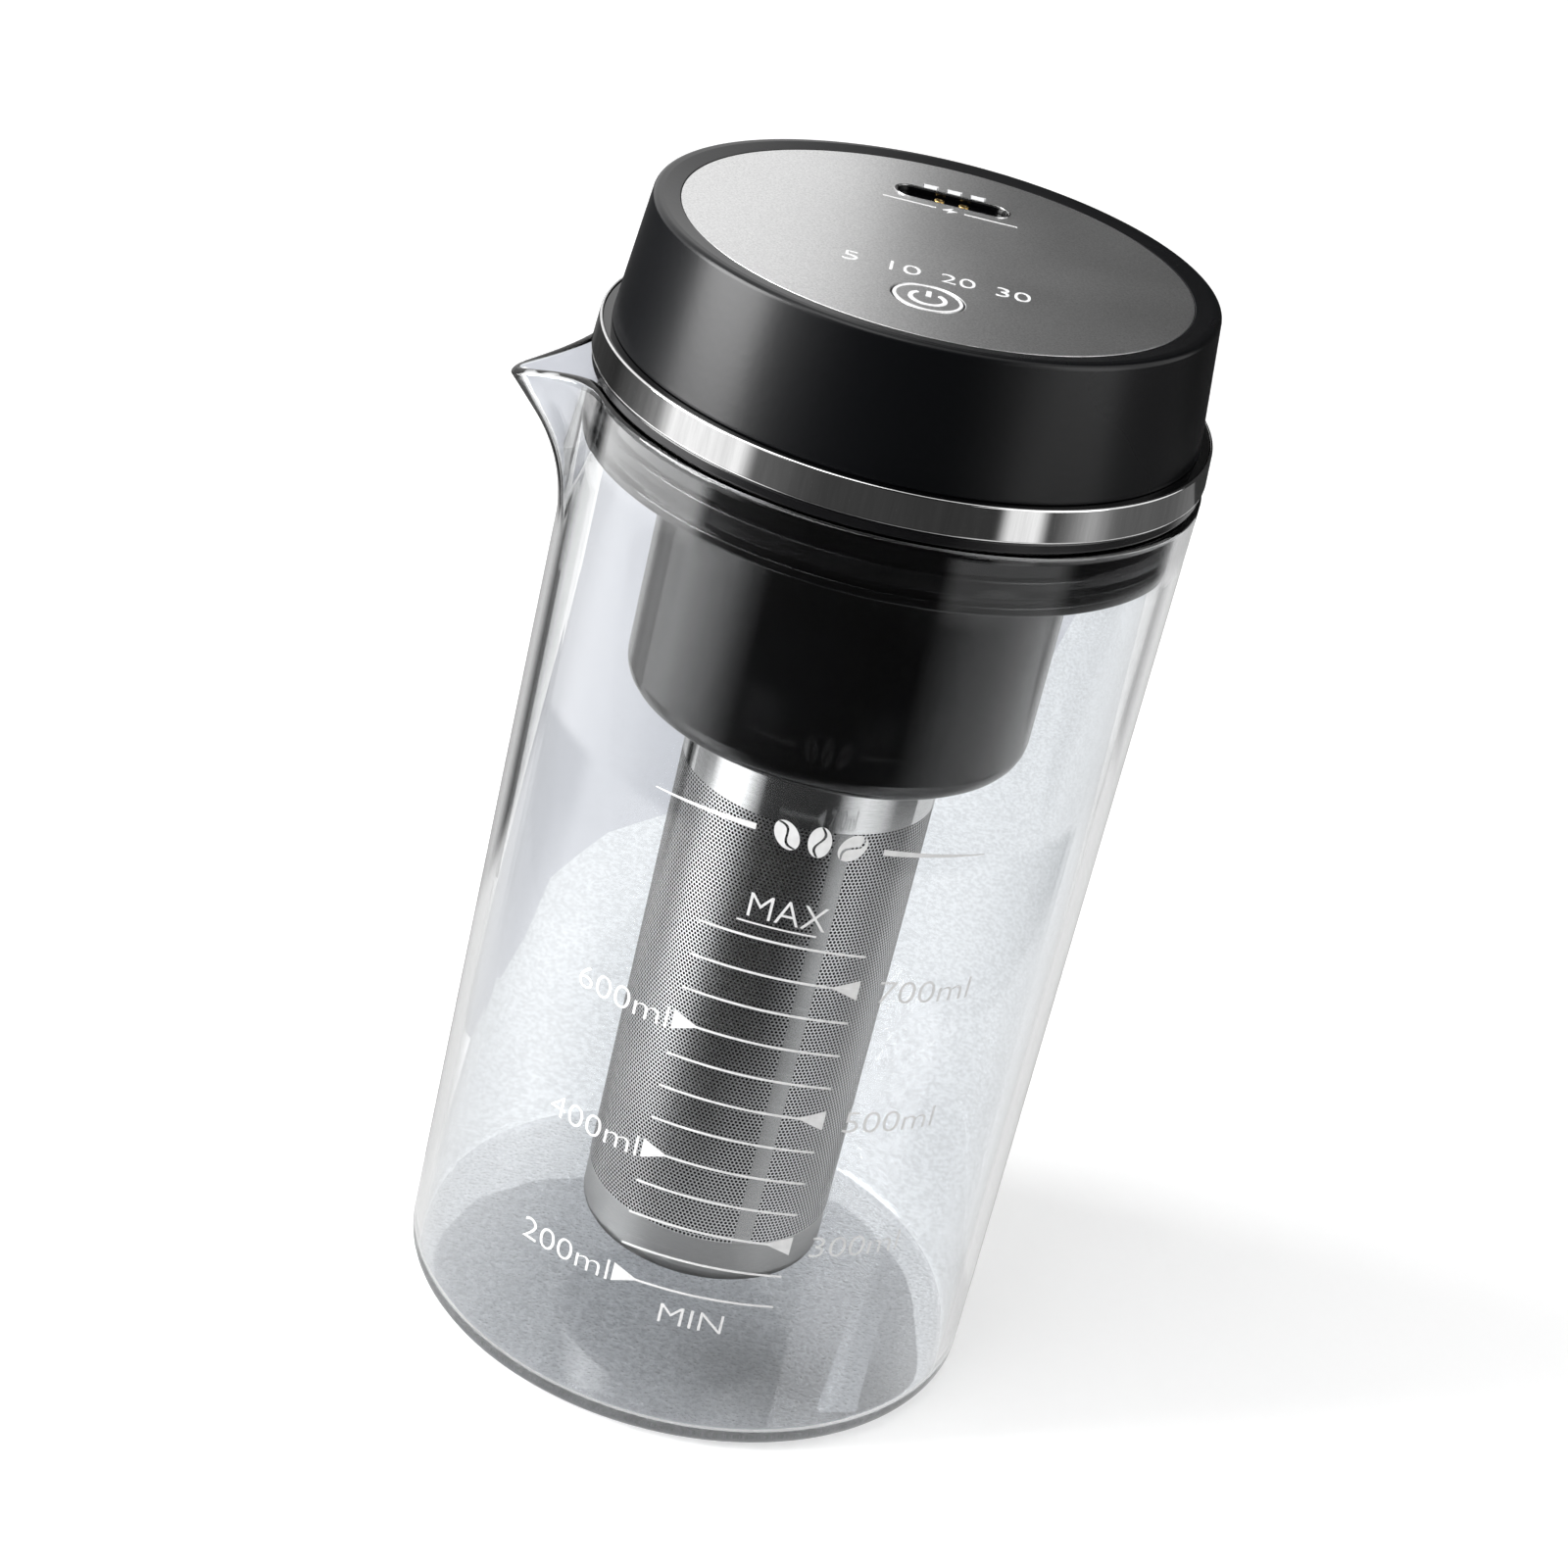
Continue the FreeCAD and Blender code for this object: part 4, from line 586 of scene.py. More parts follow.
def make_glass():
    angles = glass_angles()
    columns = [glass_column(math.remainder(angle, 2 * math.pi)) for angle in angles]
    rows = len(columns[0])
    places = []
    for angle, column in zip(angles, columns):
        turn = angle + LIP_AZIMUTH
        for radius, height in column:
            places.append((radius * math.cos(turn) * MM, radius * math.sin(turn) * MM, height * MM))
    faces = []
    for step in range(len(angles)):
        ahead = (step + 1) % len(angles)
        for row in range(rows - 1):
            here, there = step * rows + row, ahead * rows + row
            faces.append((here, there, there + 1, here + 1))
    mesh = tidy_mesh("glass_wall", places, faces)
    mesh.materials.append(MATERIALS["glass"])
    mesh.materials.append(MATERIALS["base_glass"])
    for face in mesh.polygons:
        if face.center.z < GROUND_TOP * MM and face.normal.z < 0:
            face.material_index = 1
    piece = new_piece("glass_wall", mesh, None, "carafe", sharp=60.0)
    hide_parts("glass_carafe")


# ---------------- print on the glass


# Taken off the strokes of the lettering, and how high its capitals stand, for a size of 1.
THINNER = -0.012
CAPITAL = 0.729


def text_mesh(words, cap, width):
    """Flat lettering with capitals cap high, centred on x = 0 and standing on y = 0."""
    curve = bpy.data.curves.new("words", "FONT")
    curve.body = words
    curve.offset = THINNER
    curve.resolution_u = 6
    mesh = curve_to_mesh("words", curve)
    bpy.data.curves.remove(curve)
    across = [vertex.co.x for vertex in mesh.vertices]
    low, high = min(across), max(across)
    scale = Matrix.Diagonal((width / (high - low), cap / CAPITAL, 1, 1))
    mesh.transform(scale @ Matrix.Translation((-(low + high) / 2, 0, 0)))
    return mesh


def flat_mesh(outlines):
    """Flat shapes, each an outline of (x, y) points."""
    mesh = bpy.data.meshes.new("flat")
    places = []
    faces = []
    for outline in outlines:
        faces.append(tuple(range(len(places), len(places) + len(outline))))
        places += [(x, y, 0) for x, y in outline]
    mesh.from_pydata(places, [], faces)
    return mesh


def bar(start, end, height, thickness, parts=24):
    """A level bar cut into short lengths, so that it bends round the glass."""
    low = height - thickness / 2
    high = low + thickness
    pieces = []
    for step in range(parts):
        left = start + (end - start) * step / parts
        right = start + (end - start) * (step + 1) / parts
        pieces.append([(left, low), (right, low), (right, high), (left, high)])
    return pieces


PRINT_RADIUS = GLASS_RADIUS - 0.045
PRINT_DEPTH = 0.04


def arc_at(degrees):
    """Length along the glass of an angle right of the front."""
    return math.radians(degrees) * GLASS_RADIUS


def wrap(mesh):
    """Bends a flat mesh in millimetres, x along the glass and y up, on to the glass."""
    for vertex in mesh.vertices:
        angle = vertex.co.x / GLASS_RADIUS
        radius = (PRINT_RADIUS + vertex.co.z) * MM
        vertex.co = (radius * math.sin(angle), -radius * math.cos(angle), vertex.co.y * MM)


def thickened(mesh, depth):
    work = bmesh.new()
    work.from_mesh(mesh)
    made = bmesh.ops.extrude_face_region(work, geom=work.faces[:])
    moved = [item for item in made["geom"] if isinstance(item, bmesh.types.BMVert)]
    bmesh.ops.translate(work, verts=moved, vec=(0, 0, depth))
    bmesh.ops.recalc_face_normals(work, faces=work.faces)
    work.to_mesh(mesh)
    work.free()
    return mesh


def moved(mesh, x, y):
    mesh.transform(Matrix.Translation((x, y, 0)))
    return mesh


def mark_height(number):
    """Height of a line of the scale, counted up from the one for 200 ml."""
    return SCALE_FOOT + SCALE_STEP * number


def scale_print():
    """The volume scale: a line every 50 ml, with pointers and numbers on both sides."""
    meshes = []
    lines = []
    for number in range(12):
        lines += bar(arc_at(-13.3), arc_at(17.8), mark_height(number), 0.42)
    lines += bar(arc_at(-6.6), arc_at(8.0), 104.9, 0.3)
    for volumes, base, tip, order, middle, width in (
        ((200, 400, 600), -13.7, -8.6, 1, -24.3, 19.5),
        ((300, 500, 700), 18.1, 12.9, -1, 31.5, 19.0),
    ):
        for volume in volumes:
            height = mark_height((volume - 200) / 50)
            foot = arc_at(base)
            others = [(arc_at(tip), height), (foot, height + 1.9)][::order]
            lines.append([(foot, height - 1.9)] + others)
            words = text_mesh("%dml" % volume, 4.5, arc_at(width))
            meshes.append(moved(words, arc_at(middle), height - 2.2))
    for words, cap, width, middle, height in (("MIN", 4.2, 12.3, 2.9, 24.4), ("MAX", 4.8, 14.3, 2.1, 105.9)):
        meshes.append(moved(text_mesh(words, cap, arc_at(width)), arc_at(middle), height))
    meshes.append(flat_mesh(lines))
    mesh = thickened(joined("scale_print", meshes), PRINT_DEPTH)
    wrap(mesh)
    piece = new_piece("scale_print", mesh, "print", "carafe")


def bean(x, y, length, width, lean):
    """Two halves of a coffee bean with a curved crease between them."""
    halves = []
    for side in (-1, 1):
        points = []
        for step in range(19):
            angle = math.pi * step / 18
            points.append((length / 2 * math.cos(angle), side * width / 2 * math.sin(angle)))
        for step in range(19):
            share = 1 - 2 * step / 18
            crease = 0.18 * width * math.sin(math.pi * share) + side * 0.06 * width
            points.append((-length / 2 * share * 0.96, crease))
        cos, sin = math.cos(lean), math.sin(lean)
        halves.append([(x + px * cos - py * sin, y + px * sin + py * cos) for px, py in points])
    return halves


def ornament_print():
    """A plain ornament of three beans between two tapering rules."""
    shapes = []
    middle, height = arc_at(4.5), 122.0
    for number, lean in ((-1, 2.2), (0, 1.57), (1, 0.94)):
        shapes += bean(middle + number * 5.4, height, 5.6, 3.8, lean)
    reach, length, parts = 10.5, 18.0, 24
    for side in (-1, 1):
        for step in range(parts):
            near, far = [reach + length * end / parts for end in (step, step + 1)]
            a, b = [0.45 * (1 - end / parts) + 0.1 for end in (step, step + 1)]
            quad = [(near, -a), (far, -b), (far, b), (near, a)]
            shapes.append([(middle + side * x, height + y) for x, y in quad])
    mesh = thickened(flat_mesh(shapes), PRINT_DEPTH)
    wrap(mesh)
    piece = new_piece("ornament_print", mesh, "print", "carafe")


# ---------------- lid


def make_lid():
    band = [
        (SKIRT_RADIUS, BAND_FOOT), (51.9, BAND_FOOT, 0.35), (51.5, BAND_TOP, 0.3), (51.06, BAND_TOP, 0.1),
        (51.06, FLANGE_FOOT), (SKIRT_RADIUS, FLANGE_FOOT),
    ]
    lathe("band_ring", "polished", "lid", "steel_band", band, segments=360)
    gasket = [(SKIRT_RADIUS, 175.8), (51.5, 175.8, 0.5), (51.5, BAND_FOOT, 0.4), (SKIRT_RADIUS, BAND_FOOT)]
    lathe("gasket_ring", "silicone", "lid", "rim_gasket", gasket)
    plug = [
        (35.45, PLUG_FOOT, 0.2), (PLUG_RADIUS, PLUG_FOOT, 0.6), (PLUG_RADIUS, 166.0, 0.3),
        (SKIRT_RADIUS, 166.0), (SKIRT_RADIUS, SEAL_SEAT_FOOT), (SEAL_SEAT_RADIUS, SEAL_SEAT_FOOT),
        (SEAL_SEAT_RADIUS, SEAL_SEAT_TOP), (SKIRT_RADIUS, SEAL_SEAT_TOP), (SKIRT_RADIUS, FLANGE_FOOT),
        (FLANGE_RADIUS, FLANGE_FOOT),
        (FLANGE_RADIUS, FLANGE_TOP, 0.3), (47.35, FLANGE_TOP), (46.9, 186.3), (SKIRT_BORE, 186.3),
        (SKIRT_BORE, 166.7), (35.45, 166.7),
    ]
    lathe("plug", "gloss_black", "lid", "lid_base", plug, segments=320)
    seal = [
        (47.42, 166.95), (48.6, 166.95), (PLUG_RADIUS, 167.5, 0.3), (49.36, 168.9, 1.0),
        (PLUG_RADIUS, 170.3, 0.3), (48.6, 170.85), (47.42, 170.85),
    ]
    lathe("seal_sleeve", "silicone", "lid", "plug_seal", seal)
    shell = [
        (LEDGE_RADIUS, LEDGE_FOOT), (45.0, LEDGE_FOOT), (47.5, FLANGE_TOP),
        (SHELL_FOOT_RADIUS, FLANGE_TOP, 0.25), (SHELL_TOP_RADIUS, SHELL_TOP, 0.9), (45.4, SHELL_TOP, 0.3),
        (42.6, PANEL_TOP, 0.1), (42.6, PANEL_FOOT), (LEDGE_RADIUS, PANEL_FOOT),
    ]
    lathe("shell", "charcoal", "lid", "lid_shell", shell, segments=360)
    cup = [
        (4.5, CUP_BOTTOM), (CUP_RADIUS, CUP_BOTTOM, 4.0), (CUP_RADIUS, 167.5), (41.2, 167.5), (41.2, 169.5),
        (CUP_BORE, 169.5), (CUP_BORE, CUP_FLOOR), (6.5, CUP_FLOOR), (6.5, 130.0), (4.0, 130.0), (4.0, 123.9),
        (4.5, 123.9),
    ]
    lathe("motor_cup_skin", "cup_black", "lid", "motor_cup", cup, segments=320)


def make_panel():
    loops = [circle(0, 0, PANEL_RADIUS, 360), circle(0, BUTTON_FRONT, 6.0), pill(PORT_X, PORT_Y, 19.8, 6.2)]
    loops += [rectangle(PORT_X + 4.1 * step, PORT_Y + 4.6, 2.5, 2.1) for step in (-1, 0, 1)]
    mesh = plate_mesh("panel", loops, PANEL_FOOT, PANEL_TOP, bevel=0.12)
    piece = new_piece("panel", mesh, "panel", "lid")
    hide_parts("control_panel")
    cap = [
        (0.0, 202.7), (6.9, 202.7), (6.9, 203.5), (BUTTON_RADIUS, 203.5), (BUTTON_RADIUS, PANEL_TOP, 0.15),
        (0.0, PANEL_TOP),
    ]
    lathe("button_cap", "panel", "button", "power_button", cap, segments=128, y=BUTTON_FRONT)
    outline = pill(PORT_X, PORT_Y, 19.6, 6.0)
    wall = plate_mesh("wall", [outline, pill(PORT_X, PORT_Y, 18.6, 5.0)], PORT_FLOOR, PANEL_TOP, 0.1)
    floor = plate_mesh("floor", [outline], LEDGE_FOOT, PORT_FLOOR)
    under = plate_mesh("under", [pill(PORT_X, PORT_Y, 22.4, 7.0)], 200.7, LEDGE_FOOT)
    socket = new_piece("socket", joined("socket", [wall, floor, under]), "gloss_black", "lid")
    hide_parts("charging_socket")
    loops = [pill(PORT_X, PORT_Y, 20.1, 6.5), pill(PORT_X, PORT_Y, 19.4, 5.8)]
    rim = plate_mesh("rim", loops, PANEL_TOP - 0.02, PANEL_TOP + 0.12, 0.04)
    rim_piece = new_piece("socket_rim", rim, "polished", "lid")


def make_contacts():
    """Domed gold contacts, each with a small dimple."""
    meshes = []
    outline = [
        (0.0, 196.6), (0.5, 196.6), (0.5, PORT_FLOOR), (0.9, PORT_FLOOR), (0.9, CONTACT_TOP - 0.05, 0.12),
        (0.35, CONTACT_TOP), (0.0, CONTACT_TOP - 0.1),
    ]
    for side in (-1, 1):
        x = PORT_X + 2.1 * side
        mesh = lathe_mesh("contact", outline, segments=48, y=PORT_Y)
        mesh.transform(Matrix.Translation((x * MM, 0, 0)))
        meshes.append(mesh)
    piece = new_piece("contact_pins", joined("contact_pins", meshes), "gold", "lid")
    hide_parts("charging_contacts")


def ring_outline(x, y, inner, outer, start, end, steps):
    """Short flat pieces of a ring between two angles in degrees, measured from +X."""
    quads = []
    for step in range(steps):
        a = math.radians(start + (end - start) * step / steps)
        b = math.radians(start + (end - start) * (step + 1) / steps)
        corners = [(inner, a), (outer, a), (outer, b), (inner, b)]
        quads.append([(x + r * math.cos(t), y + r * math.sin(t)) for r, t in corners])
    return quads


def on_panel(name, mesh, body):
    """Print just above the panel, from a flat mesh in millimetres."""
    thickened(mesh, PRINT_DEPTH)
    mesh.transform(Matrix.Translation((0, 0, (PANEL_TOP + 0.01) * MM)) @ Matrix.Scale(MM, 4))
    piece = new_piece(name, mesh, "panel_print", body)


def panel_print():
    """The timer's numbers, the power symbol on the button, and a bolt between rules by the socket."""
    meshes = []
    for words, x, width in (("5", -13.4, 2.5), ("10", -4.5, 5.0), ("20", 4.1, 5.6), ("30", 13.1, 5.6)):
        meshes.append(moved(text_mesh(words, 4.4, width), x, -16.15))
    on_panel("timer_numbers", joined("numbers", meshes), "lid")
    shapes = ring_outline(0, BUTTON_FRONT, 5.1, 5.6, 0, 360, 96)
    shapes += ring_outline(0, BUTTON_FRONT - 0.2, 2.4, 3.15, 128, 412, 72)
    shapes.append(rectangle(0, BUTTON_FRONT + 1.9, 0.85, 2.5))
    on_panel("power_symbol", flat_mesh(shapes), "button")
    bolt = [(0.5, 1.9), (-1.3, -0.2), (-0.15, -0.2), (-0.5, -1.9), (1.3, 0.3), (0.15, 0.3)]
    height = 19.9
    shapes = [[(PORT_X + x, height + y * 0.8) for x, y in bolt]]
    for side in (-1, 1):
        shapes += bar(PORT_X + side * 2.4, PORT_X + side * 11.5, height, 0.3, 4)
    on_panel("charge_symbol", flat_mesh(shapes), "lid")


# ---------------- filter


def make_filter():
    sleeve = [(21.9, MESH_BOTTOM), (FILTER_RADIUS, MESH_BOTTOM), (FILTER_RADIUS, MESH_TOP), (21.9, MESH_TOP)]
    lathe("sleeve", "perforated", "filter", "filter_sleeve", sleeve)
    inside = 14.6
    foot = [
        (0.0, FILTER_BOTTOM), (22.3, FILTER_BOTTOM, FILTER_FOOT_ROUND), (22.3, 22.9),
        (FILTER_RADIUS, 23.0, 0.04), (FILTER_RADIUS, MESH_BOTTOM), (21.6, MESH_BOTTOM),
        (21.6, inside, FILTER_FOOT_ROUND - 0.8), (0.0, inside),
    ]
    lathe("foot_cap", "foot_steel", "filter", "filter_bottom", foot)


# ---------------- materials of the other solids

CARRIED = {
    "collar_steel": "filter_collar",
    "gloss_black": "switch_plunger tact_switch board_chips drive_hub",
    "matte_black": "chassis",
    "silicone": "cup_gasket shaft_seal grip_ring",
    "light": "charge_lights timer_lights",
    "circuit": "circuit_board",
    "steel": "board_screws chassis_screws cell_tabs gear_plate plate_screws motor_can motor_shaft "
    "motor_screws drive_shaft retaining_clip hub_screw",
    "wrap": "battery_cell",
    "bronze": "lower_bush upper_bush motor_pinion",
    "nylon": "motor_end_cap driven_gear",
    "magnet": "charging_magnets motor_magnets",
    "copper": "motor_armature",
}


def dress_solids():
    for material, names in CARRIED.items():
        for name in names.split():
            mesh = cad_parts[name].data
            mesh.materials.clear()
            mesh.materials.append(MATERIALS[material])


# ---------------- stage, light and camera


def stage_plane(name, size, place, aim, material):
    mesh = bpy.data.meshes.new(name)
    half_x, half_y = size[0] / 2, size[1] / 2
    corners = [(-half_x, -half_y, 0), (half_x, -half_y, 0), (half_x, half_y, 0), (-half_x, half_y, 0)]
    mesh.from_pydata(corners, [], [(0, 1, 2, 3)])
    mesh.materials.append(material)
    plane = linked(name, mesh)
    plane.location = place
    if aim:
        plane.rotation_euler = (Vector(aim) - Vector(place)).to_track_quat("Z", "Y").to_euler()
    return plane


def seen_directly(tree):
    """1 for rays that the background is shown to: from the camera, off gloss and through glass."""
    path = tree.nodes.new("ShaderNodeLightPath")
    total = path.outputs["Is Camera Ray"]
    for name in ("Is Glossy Ray", "Is Transmission Ray"):
        node = tree.nodes.new("ShaderNodeMath")
        node.operation = "MAXIMUM"
        tree.links.new(total, node.inputs[0])
        tree.links.new(path.outputs[name], node.inputs[1])
        total = node.outputs[0]
    return total


def make_floor():
    """A pale floor that glows a little more far off, for the rays that the background is shown to."""
    look = Look("floor", Roughness=0.9, Base_Color=(0.86, 0.86, 0.86, 1), Emission_Color=(1, 1, 1, 1))
    reach = look.add("ShaderNodeVectorMath", {0: look.place}, operation="LENGTH").outputs["Value"]
    glow = {"Value": reach, "From Min": 0.4, "From Max": 1.8, "To Min": 0.34, "To Max": 0.64}
    glow = look.add("ShaderNodeMapRange", glow).outputs["Result"]
    look.feed("Emission Strength", look.math("MULTIPLY", seen_directly(look.tree), glow))
    stage_plane("floor", (12.0, 12.0), (0, 0, -0.0006), None, look.material)


def make_world():
    world = bpy.data.worlds.new("studio")
    bpy.context.scene.world = world
    world.use_nodes = True
    tree = world.node_tree
    background = tree.nodes["Background"]
    background.inputs["Color"].default_value = (1, 1, 1, 1)
    strength = tree.nodes.new("ShaderNodeMapRange")
    strength.inputs["To Min"].default_value = 0.45
    strength.inputs["To Max"].default_value = 1.0
    tree.links.new(seen_directly(tree), strength.inputs["Value"])
    tree.links.new(strength.outputs["Result"], background.inputs["Strength"])


def reflections_only(thing):
    """Keeps a card out of the picture and the light, but in reflections and seen through glass."""
    thing.visible_camera = False
    thing.visible_shadow = False
    thing.visible_diffuse = False


def card(name, size, place, aim, level):
    """A dark card for the gloss of the lid and the panel to mirror."""
    look = Look(name, Base_Color=(level, level, level, 1), Roughness=0.9)
    plane = stage_plane(name, size, place, aim, look.material)
    reflections_only(plane)
    return plane


def stage_look(name, mirrored):
    """A glow that shows only in reflections, or only straight through the glass."""
    look = Look(name)
    look.tree.nodes.remove(look.shader)
    path = look.add("ShaderNodeLightPath").outputs
    bounced = look.math("GREATER_THAN", path["Glossy Depth"], 0.5)
    shown = bounced if mirrored else look.math("SUBTRACT", 1.0, bounced)
    clear = look.add("ShaderNodeBsdfTransparent").outputs[0]
    look.glow = look.add("ShaderNodeEmission")
    blend = look.add("ShaderNodeMixShader", {0: shown, 1: clear, 2: look.glow.outputs[0]})
    look.tree.links.new(blend.outputs[0], look.tree.nodes["Material Output"].inputs["Surface"])
    return look


def floor_card(name, outline, height, look):
    """A flat card on the floor from an outline in millimetres, kept out of the picture itself."""
    mesh = bpy.data.meshes.new(name)
    mesh.from_pydata([(x * MM, y * MM, height * MM) for x, y in outline], [], [tuple(range(len(outline)))])
    mesh.materials.append(look.material)
    thing = linked(name, mesh)
    reflections_only(thing)


# Grey of what the polished parts mirror, by degrees right of the front, in rings on the floor.
SEEN_IN_FOOT = {-180: 0.8, -116: 0.75, -97: 0.9, -53: 0.9, -41: 0.72, 29: 0.72, 53: 0.85, 97: 0.75, 180: 0.85}
SEEN_IN_SLEEVE_LOW = {
    -180: 0.9, -81: 1.1, -67: 1.5, -53: 1.05, -41: 0.33, -17: 0.12, -6: 0.22, 6: 0.5, 29: 0.55, 45: 0.95,
    67: 0.7, 180: 0.8,
}
SEEN_IN_SLEEVE = {
    -180: 0.9, -116: 0.75, -97: 1.0, -81: 1.8, -67: 2.4, -53: 1.4, -41: 0.3, -29: 0.04, 10: 0.02, 29: 0.4,
    53: 0.95, 67: 0.8, 85: 0.55, 180: 0.85,
}
SEEN_IN_SLEEVE_HIGH = {
    -180: 0.8, -116: 0.5, -97: 0.7, -81: 2.1, -67: 2.4, -53: 1.5, -41: 0.35, -29: 0.03, 29: 0.02, 45: 1.1,
    67: 1.1, 81: 0.75, 97: 0.65, 180: 0.9,
}
SEEN_IN_COLLAR = {
    -180: 0.3, -116: 0.5, -97: 0.4, -87: 0.5, -79: 1.6, -67: 1.9, -50: 1.9, -41: 0.9, -32: 0.06, 30: 0.03,
    43: 0.8, 55: 1.2, 75: 0.75, 88: 0.2, 116: 0.15, 180: 0.25,
}
SEEN_IN_CUP = {
    -180: 0.4, -140: 0.5, -122: 0.8, -110: 1.0, -97: 1.8, -81: 1.8, -67: 1.5, -53: 0.45, -44: 0.03, 42: 0.015,
    53: 0.25, 67: 0.6, 90: 0.6, 120: 0.8, 180: 0.7,
}
SEEN_IN_PLUG = {
    -180: 0.04, -120: 0.03, -115: 2.6, -64: 2.9, -58: 0.12, -20: 0.03, 28: 0.03, 34: 0.5, 71: 0.5, 79: 0.03,
    126: 0.03, 136: 0.6, 180: 0.6,
}
SEEN_IN_BAND = {
    -180: 0.3, -150: 0.05, -118: 0.03, -100: 0.12, -88: 0.25, -80: 1.0, -50: 0.97, -44: 0.13, -20: 0.05,
    42: 0.035, 47: 0.95, 57: 0.95, 61: 0.03, 70: 0.2, 78: 0.4, 90: 0.12, 120: 0.1, 180: 0.3,
}
# Radius in metres at which each ring is reached; the tones blend in between.
FIRST_RING = 0.036
RINGS = {
    0.045: SEEN_IN_FOOT,
    0.062: SEEN_IN_FOOT,
    0.097: SEEN_IN_SLEEVE_LOW,
    0.14: SEEN_IN_SLEEVE,
    0.2: SEEN_IN_SLEEVE_HIGH,
    0.242: SEEN_IN_COLLAR,
    0.267: SEEN_IN_COLLAR,
    0.272: SEEN_IN_CUP,
    0.41: SEEN_IN_CUP,
    0.43: SEEN_IN_PLUG,
    0.49: SEEN_IN_PLUG,
    0.5: SEEN_IN_BAND,
}


def reflector_mat():
    """A mat that only reflections show: dark in front of the object, pale beside it."""
    look = stage_look("mat", True)
    parts = look.add("ShaderNodeSeparateXYZ", {"Vector": look.place}).outputs
    turn = look.math("ARCTAN2", parts["X"], look.math("MULTIPLY", parts["Y"], -1.0))
    share = look.math("ADD", look.math("DIVIDE", turn, 2 * math.pi), 0.5)
    reach = look.add("ShaderNodeVectorMath", {0: look.place}, operation="LENGTH").outputs["Value"]
    tone = grey(0.03)
    inner = FIRST_RING
    for outer, tones in RINGS.items():
        ring = look.ramp(share, *[((degrees + 180) / 360, grey(level)) for degrees, level in tones.items()])
        passed = look.add("ShaderNodeMapRange", {"Value": reach, "From Min": inner, "From Max": outer})
        tone = look.mix(passed.outputs["Result"], tone, ring)
        inner = outer
    look.tree.links.new(tone, look.glow.inputs["Color"])
    floor_card("mat", circle(0, 0, 2300, 96), -0.1, look)


# Tones that the sides of the glass mirror behind the object, by slope outwards: near, then far off.
# The first two of each row are the side and where far off starts.
SIDE_TONES = (
    (
        -1, 0.105, {0.0: 0.5, 0.2: 0.62, 0.3: 0.86, 2.0: 0.9},
        {
            0.0: 0.45, 0.25: 0.62, 0.43: 0.7, 0.51: 0.6, 0.56: 0.38, 0.6: 0.28, 0.66: 0.13, 0.74: 0.03,
            0.9: 0.02, 1.0: 0.22, 1.1: 0.24, 2.0: 0.2,
        },
    ),
    (
        1, 0.21, {0.0: 0.5, 0.2: 0.62, 0.3: 0.84, 2.0: 0.86},
        {0.0: 0.5, 0.2: 0.6, 0.3: 0.84, 0.5: 0.8, 0.66: 0.5, 0.78: 0.45, 0.9: 0.75, 2.0: 0.75},
    ),
)
# Where the slopes start from, in metres.
SLOPE_X = 0.05
SLOPE_Y = -0.012
SIDE_BLEND = 0.015
SIDE_OUTLINE = [(44, 16), (44, 413), (160, 383), (240, 338), (300, 287), (352, 189), (92, 16)]


def side_mats():
    """What the sides of the glass mirror behind the object."""
    for side, start, near, far in SIDE_TONES:
        look = stage_look("side_mat", True)
        parts = look.add("ShaderNodeSeparateXYZ", {"Vector": look.place}).outputs
        out = look.math("SUBTRACT", look.math("MULTIPLY", parts["X"], side), SLOPE_X)
        slope = look.math("DIVIDE", out, look.math("SUBTRACT", parts["Y"], SLOPE_Y))
        half = look.math("MULTIPLY", slope, 0.5)
        close, away = [
            look.ramp(half, *[(at / 2, grey(level)) for at, level in tones.items()]) for tones in (near, far)
        ]
        along = {"Value": parts["Y"], "From Min": start, "From Max": start + SIDE_BLEND}
        passed = look.add("ShaderNodeMapRange", along)
        tone = look.mix(passed.outputs["Result"], close, away)
        look.tree.links.new(tone, look.glow.inputs["Color"])
        floor_card("side_mat%d" % side, [(side * x, y) for x, y in SIDE_OUTLINE], -0.08, look)


def leather(name, colour, spread):
    """A fine-grained card seen through the glass."""
    look = stage_look(name, False)
    grain = look.noise(800.0, detail=2.0, roughness=0.6)
    low = tuple(part * (1 - spread) for part in colour)
    high = tuple(part * (1 + spread) for part in colour)
    look.tone = look.ramp(grain, (0.4, low), (0.6, high))
    look.tree.links.new(look.tone, look.glow.inputs["Color"])
    return look


# Darkest place of the shade in metres, and how far its right side counts.
SHADE_X = 0.014
SHADE_Y = -0.027
SHADE_RIGHT = 0.12


def shade_look():
    """Leather in the shade of the base, darkest below the filter."""
    look = leather("shade", (1.0, 1.035, 1.09), 0.16)
    parts = look.add("ShaderNodeSeparateXYZ", {"Vector": look.place}).outputs
    across = look.math("SUBTRACT", parts["X"], SHADE_X)
    left = look.math("MINIMUM", across, 0.0)
    right = look.math("MULTIPLY", look.math("MAXIMUM", across, 0.0), SHADE_RIGHT)
    sideways = look.math("POWER", look.math("ADD", left, right), 2.0)
    down = look.math("POWER", look.math("SUBTRACT", parts["Y"], SHADE_Y), 2.0)
    spread = look.math("MULTIPLY", look.math("SQRT", look.math("ADD", sideways, down)), 10.0)
    levels = {0.0: 0.2, 0.07: 0.27, 0.14: 0.37, 0.22: 0.44, 0.55: 0.6}
    tone = look.ramp(spread, *[(at, grey(level)) for at, level in levels.items()])
    both = look.add("ShaderNodeMix", {0: 1.0, 6: tone, 7: look.tone}, data_type="RGBA", blend_type="MULTIPLY")
    look.tree.links.new(both.outputs[2], look.glow.inputs["Color"])
    return look


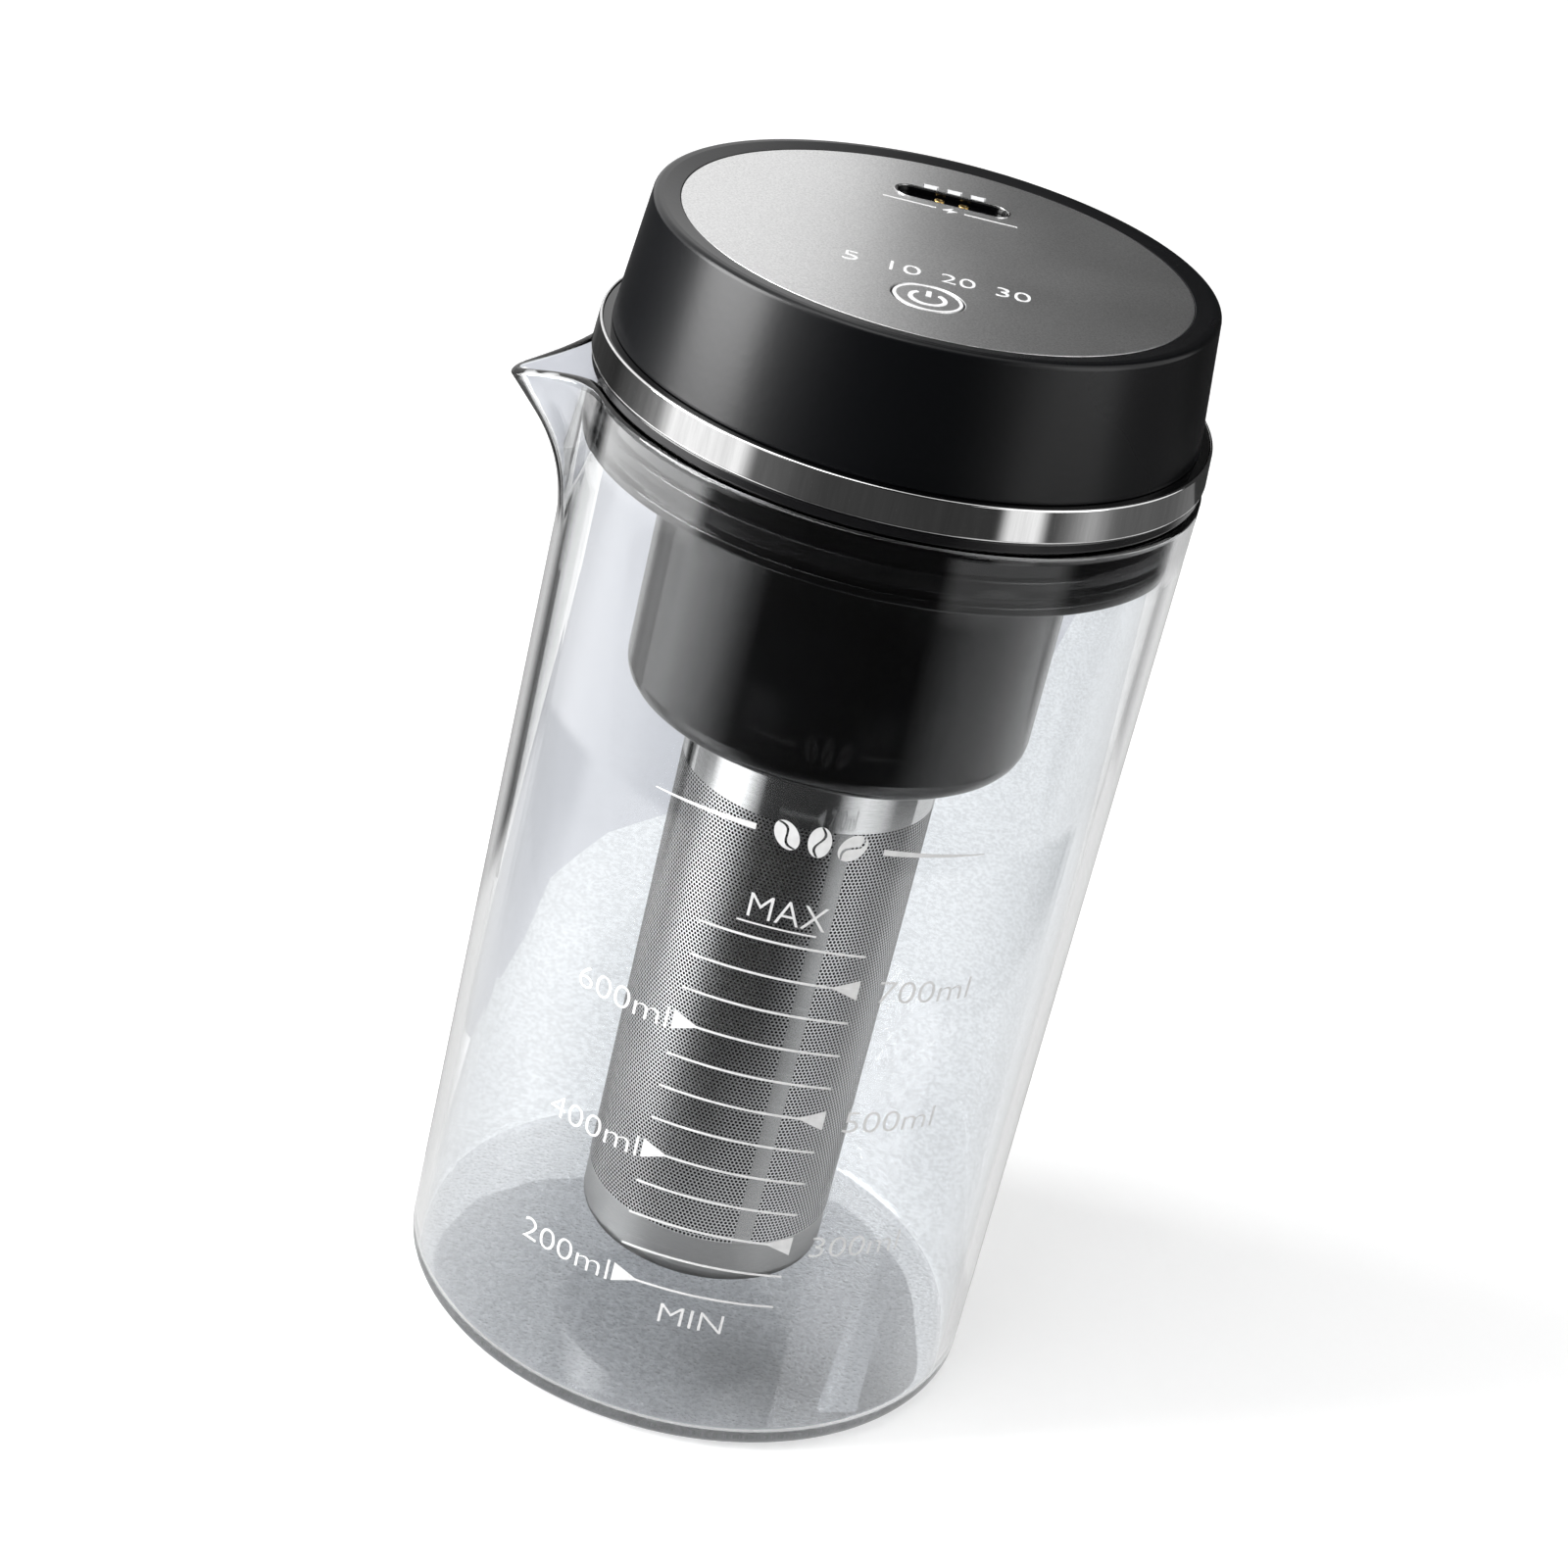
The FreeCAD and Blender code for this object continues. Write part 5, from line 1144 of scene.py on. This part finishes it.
# Reach of the shade from (0, -9), by degrees from +X.
SHADE_EDGE = {
    -90: 44, -36: 43.5, -12: 45.5, 5: 45, 40: 48.5, 55: 50, 75: 46, 100: 40, 128: 38, 146: 41, 164: 44,
    187: 45.3, 230: 46, 270: 44,
}


def shade_outline():
    points = []
    edge = list(SHADE_EDGE.items())
    for (low, near), (high, far) in zip(edge, edge[1:]):
        steps = max(1, round((high - low) / 3))
        for step in range(steps):
            share = step / steps
            reach = near + (far - near) * share * share * (3 - 2 * share)
            angle = math.radians(low + (high - low) * share)
            points.append((reach * math.cos(angle), -9 + reach * math.sin(angle)))
    return points


def seen_through_glass():
    """The table that the clear glass shows: pale leather, its far edge, and the shade under the base."""
    edge = [(-66, 60), (-58, 106), (-57, 134), (-45, 161), (-25, 184), (5, 214), (35, 250), (61, 284)]
    edge += [(78, 343), (110, 430)]
    table = [(150, 430), (110, 60), (60, -20), (52, -60), (-52, -60), (-60, -20)]
    floor_card("table", edge + table, -0.4, leather("table", (0.96, 0.985, 1.015), 0.09))
    wall = [(115, 1000), (-150, 1000), (-90, 60), (-66, 60)]
    floor_card("far_wall", edge[1:] + wall, -0.4, leather("far_wall", (0.76, 0.775, 0.83), 0.02))
    for side, tone, wing in (
        (-1, 0.14, [(96, 120), (129, 214), (152, 275), (202, 256), (174, 194), (120, 112)]),
        (1, 0.45, [(141, 210), (189, 314), (230, 430), (400, 430), (360, 210)]),
    ):
        outline = [(side * x, y) for x, y in wing]
        floor_card("wing%d" % side, outline, -0.3, leather("wing", grey(tone), 0.02))
    floor_card("shade", shade_outline(), -0.2, shade_look())
    # A lighter streak painted across the shade under the base: painted light, seen only through the glass.
    painted_light_streak = [(28, -34), (35, -31), (38, 2), (33, 6)]
    floor_card("painted_light_streak", painted_light_streak, -0.15, leather("painted_light_streak", (0.52, 0.54, 0.57), 0.04))


def lamp(name, size, place, aim, power):
    light = bpy.data.lights.new(name, "AREA")
    light.shape = "RECTANGLE"
    light.size, light.size_y = size
    light.energy = power
    holder = linked(name, light)
    holder.location = place
    holder.rotation_euler = (Vector(aim) - Vector(place)).to_track_quat("-Z", "Y").to_euler()


CAMERA_PLACE = (-0.0037, -0.55896, 0.39044)
CAMERA_TILT = math.radians(27.1228)
CAMERA_ROLL = math.radians(13.8)


def make_camera():
    side = Vector((1, 0, 0))
    up = Vector((0, math.sin(CAMERA_TILT), math.cos(CAMERA_TILT)))
    back = Vector((0, -math.cos(CAMERA_TILT), math.sin(CAMERA_TILT)))
    across = side * math.cos(CAMERA_ROLL) + up * math.sin(CAMERA_ROLL)
    upright = up * math.cos(CAMERA_ROLL) - side * math.sin(CAMERA_ROLL)
    camera = bpy.data.cameras.new("camera")
    camera.lens = 82.774
    camera.sensor_width = 36.0
    holder = linked("camera", camera)
    turn = Matrix((across, upright, back)).transposed().to_4x4()
    holder.matrix_world = Matrix.Translation(CAMERA_PLACE) @ turn
    bpy.context.scene.camera = holder


make_glass()
scale_print()
ornament_print()
make_lid()
make_panel()
make_contacts()
panel_print()
make_filter()
dress_solids()
make_floor()
make_world()
reflector_mat()
side_mats()
seen_through_glass()
card("card_front", (2.6, 2.65), (0, -1.5, 1.08), (0, 0, 0.2), 0.01)
panel_card = card("card_panel", (0.5, 0.9), (0.237, 0.3, 0.5), (0.237, 0, 0.5), 0.008)
panel_card.visible_transmission = False
lamp("key", (0.45, 0.6), (-0.66, -0.18, 0.34), (0, 0, 0.16), 12.5)
lamp("top", (0.9, 0.9), (-0.5, -0.5, 1.3), (0, 0, 0.1), 7.0)
lamp("fill", (0.4, 0.8), (0.7, -0.26, 0.42), (0, 0, 0.14), 1.6)
make_camera()
bpy.context.scene.view_settings.view_transform = "Standard"
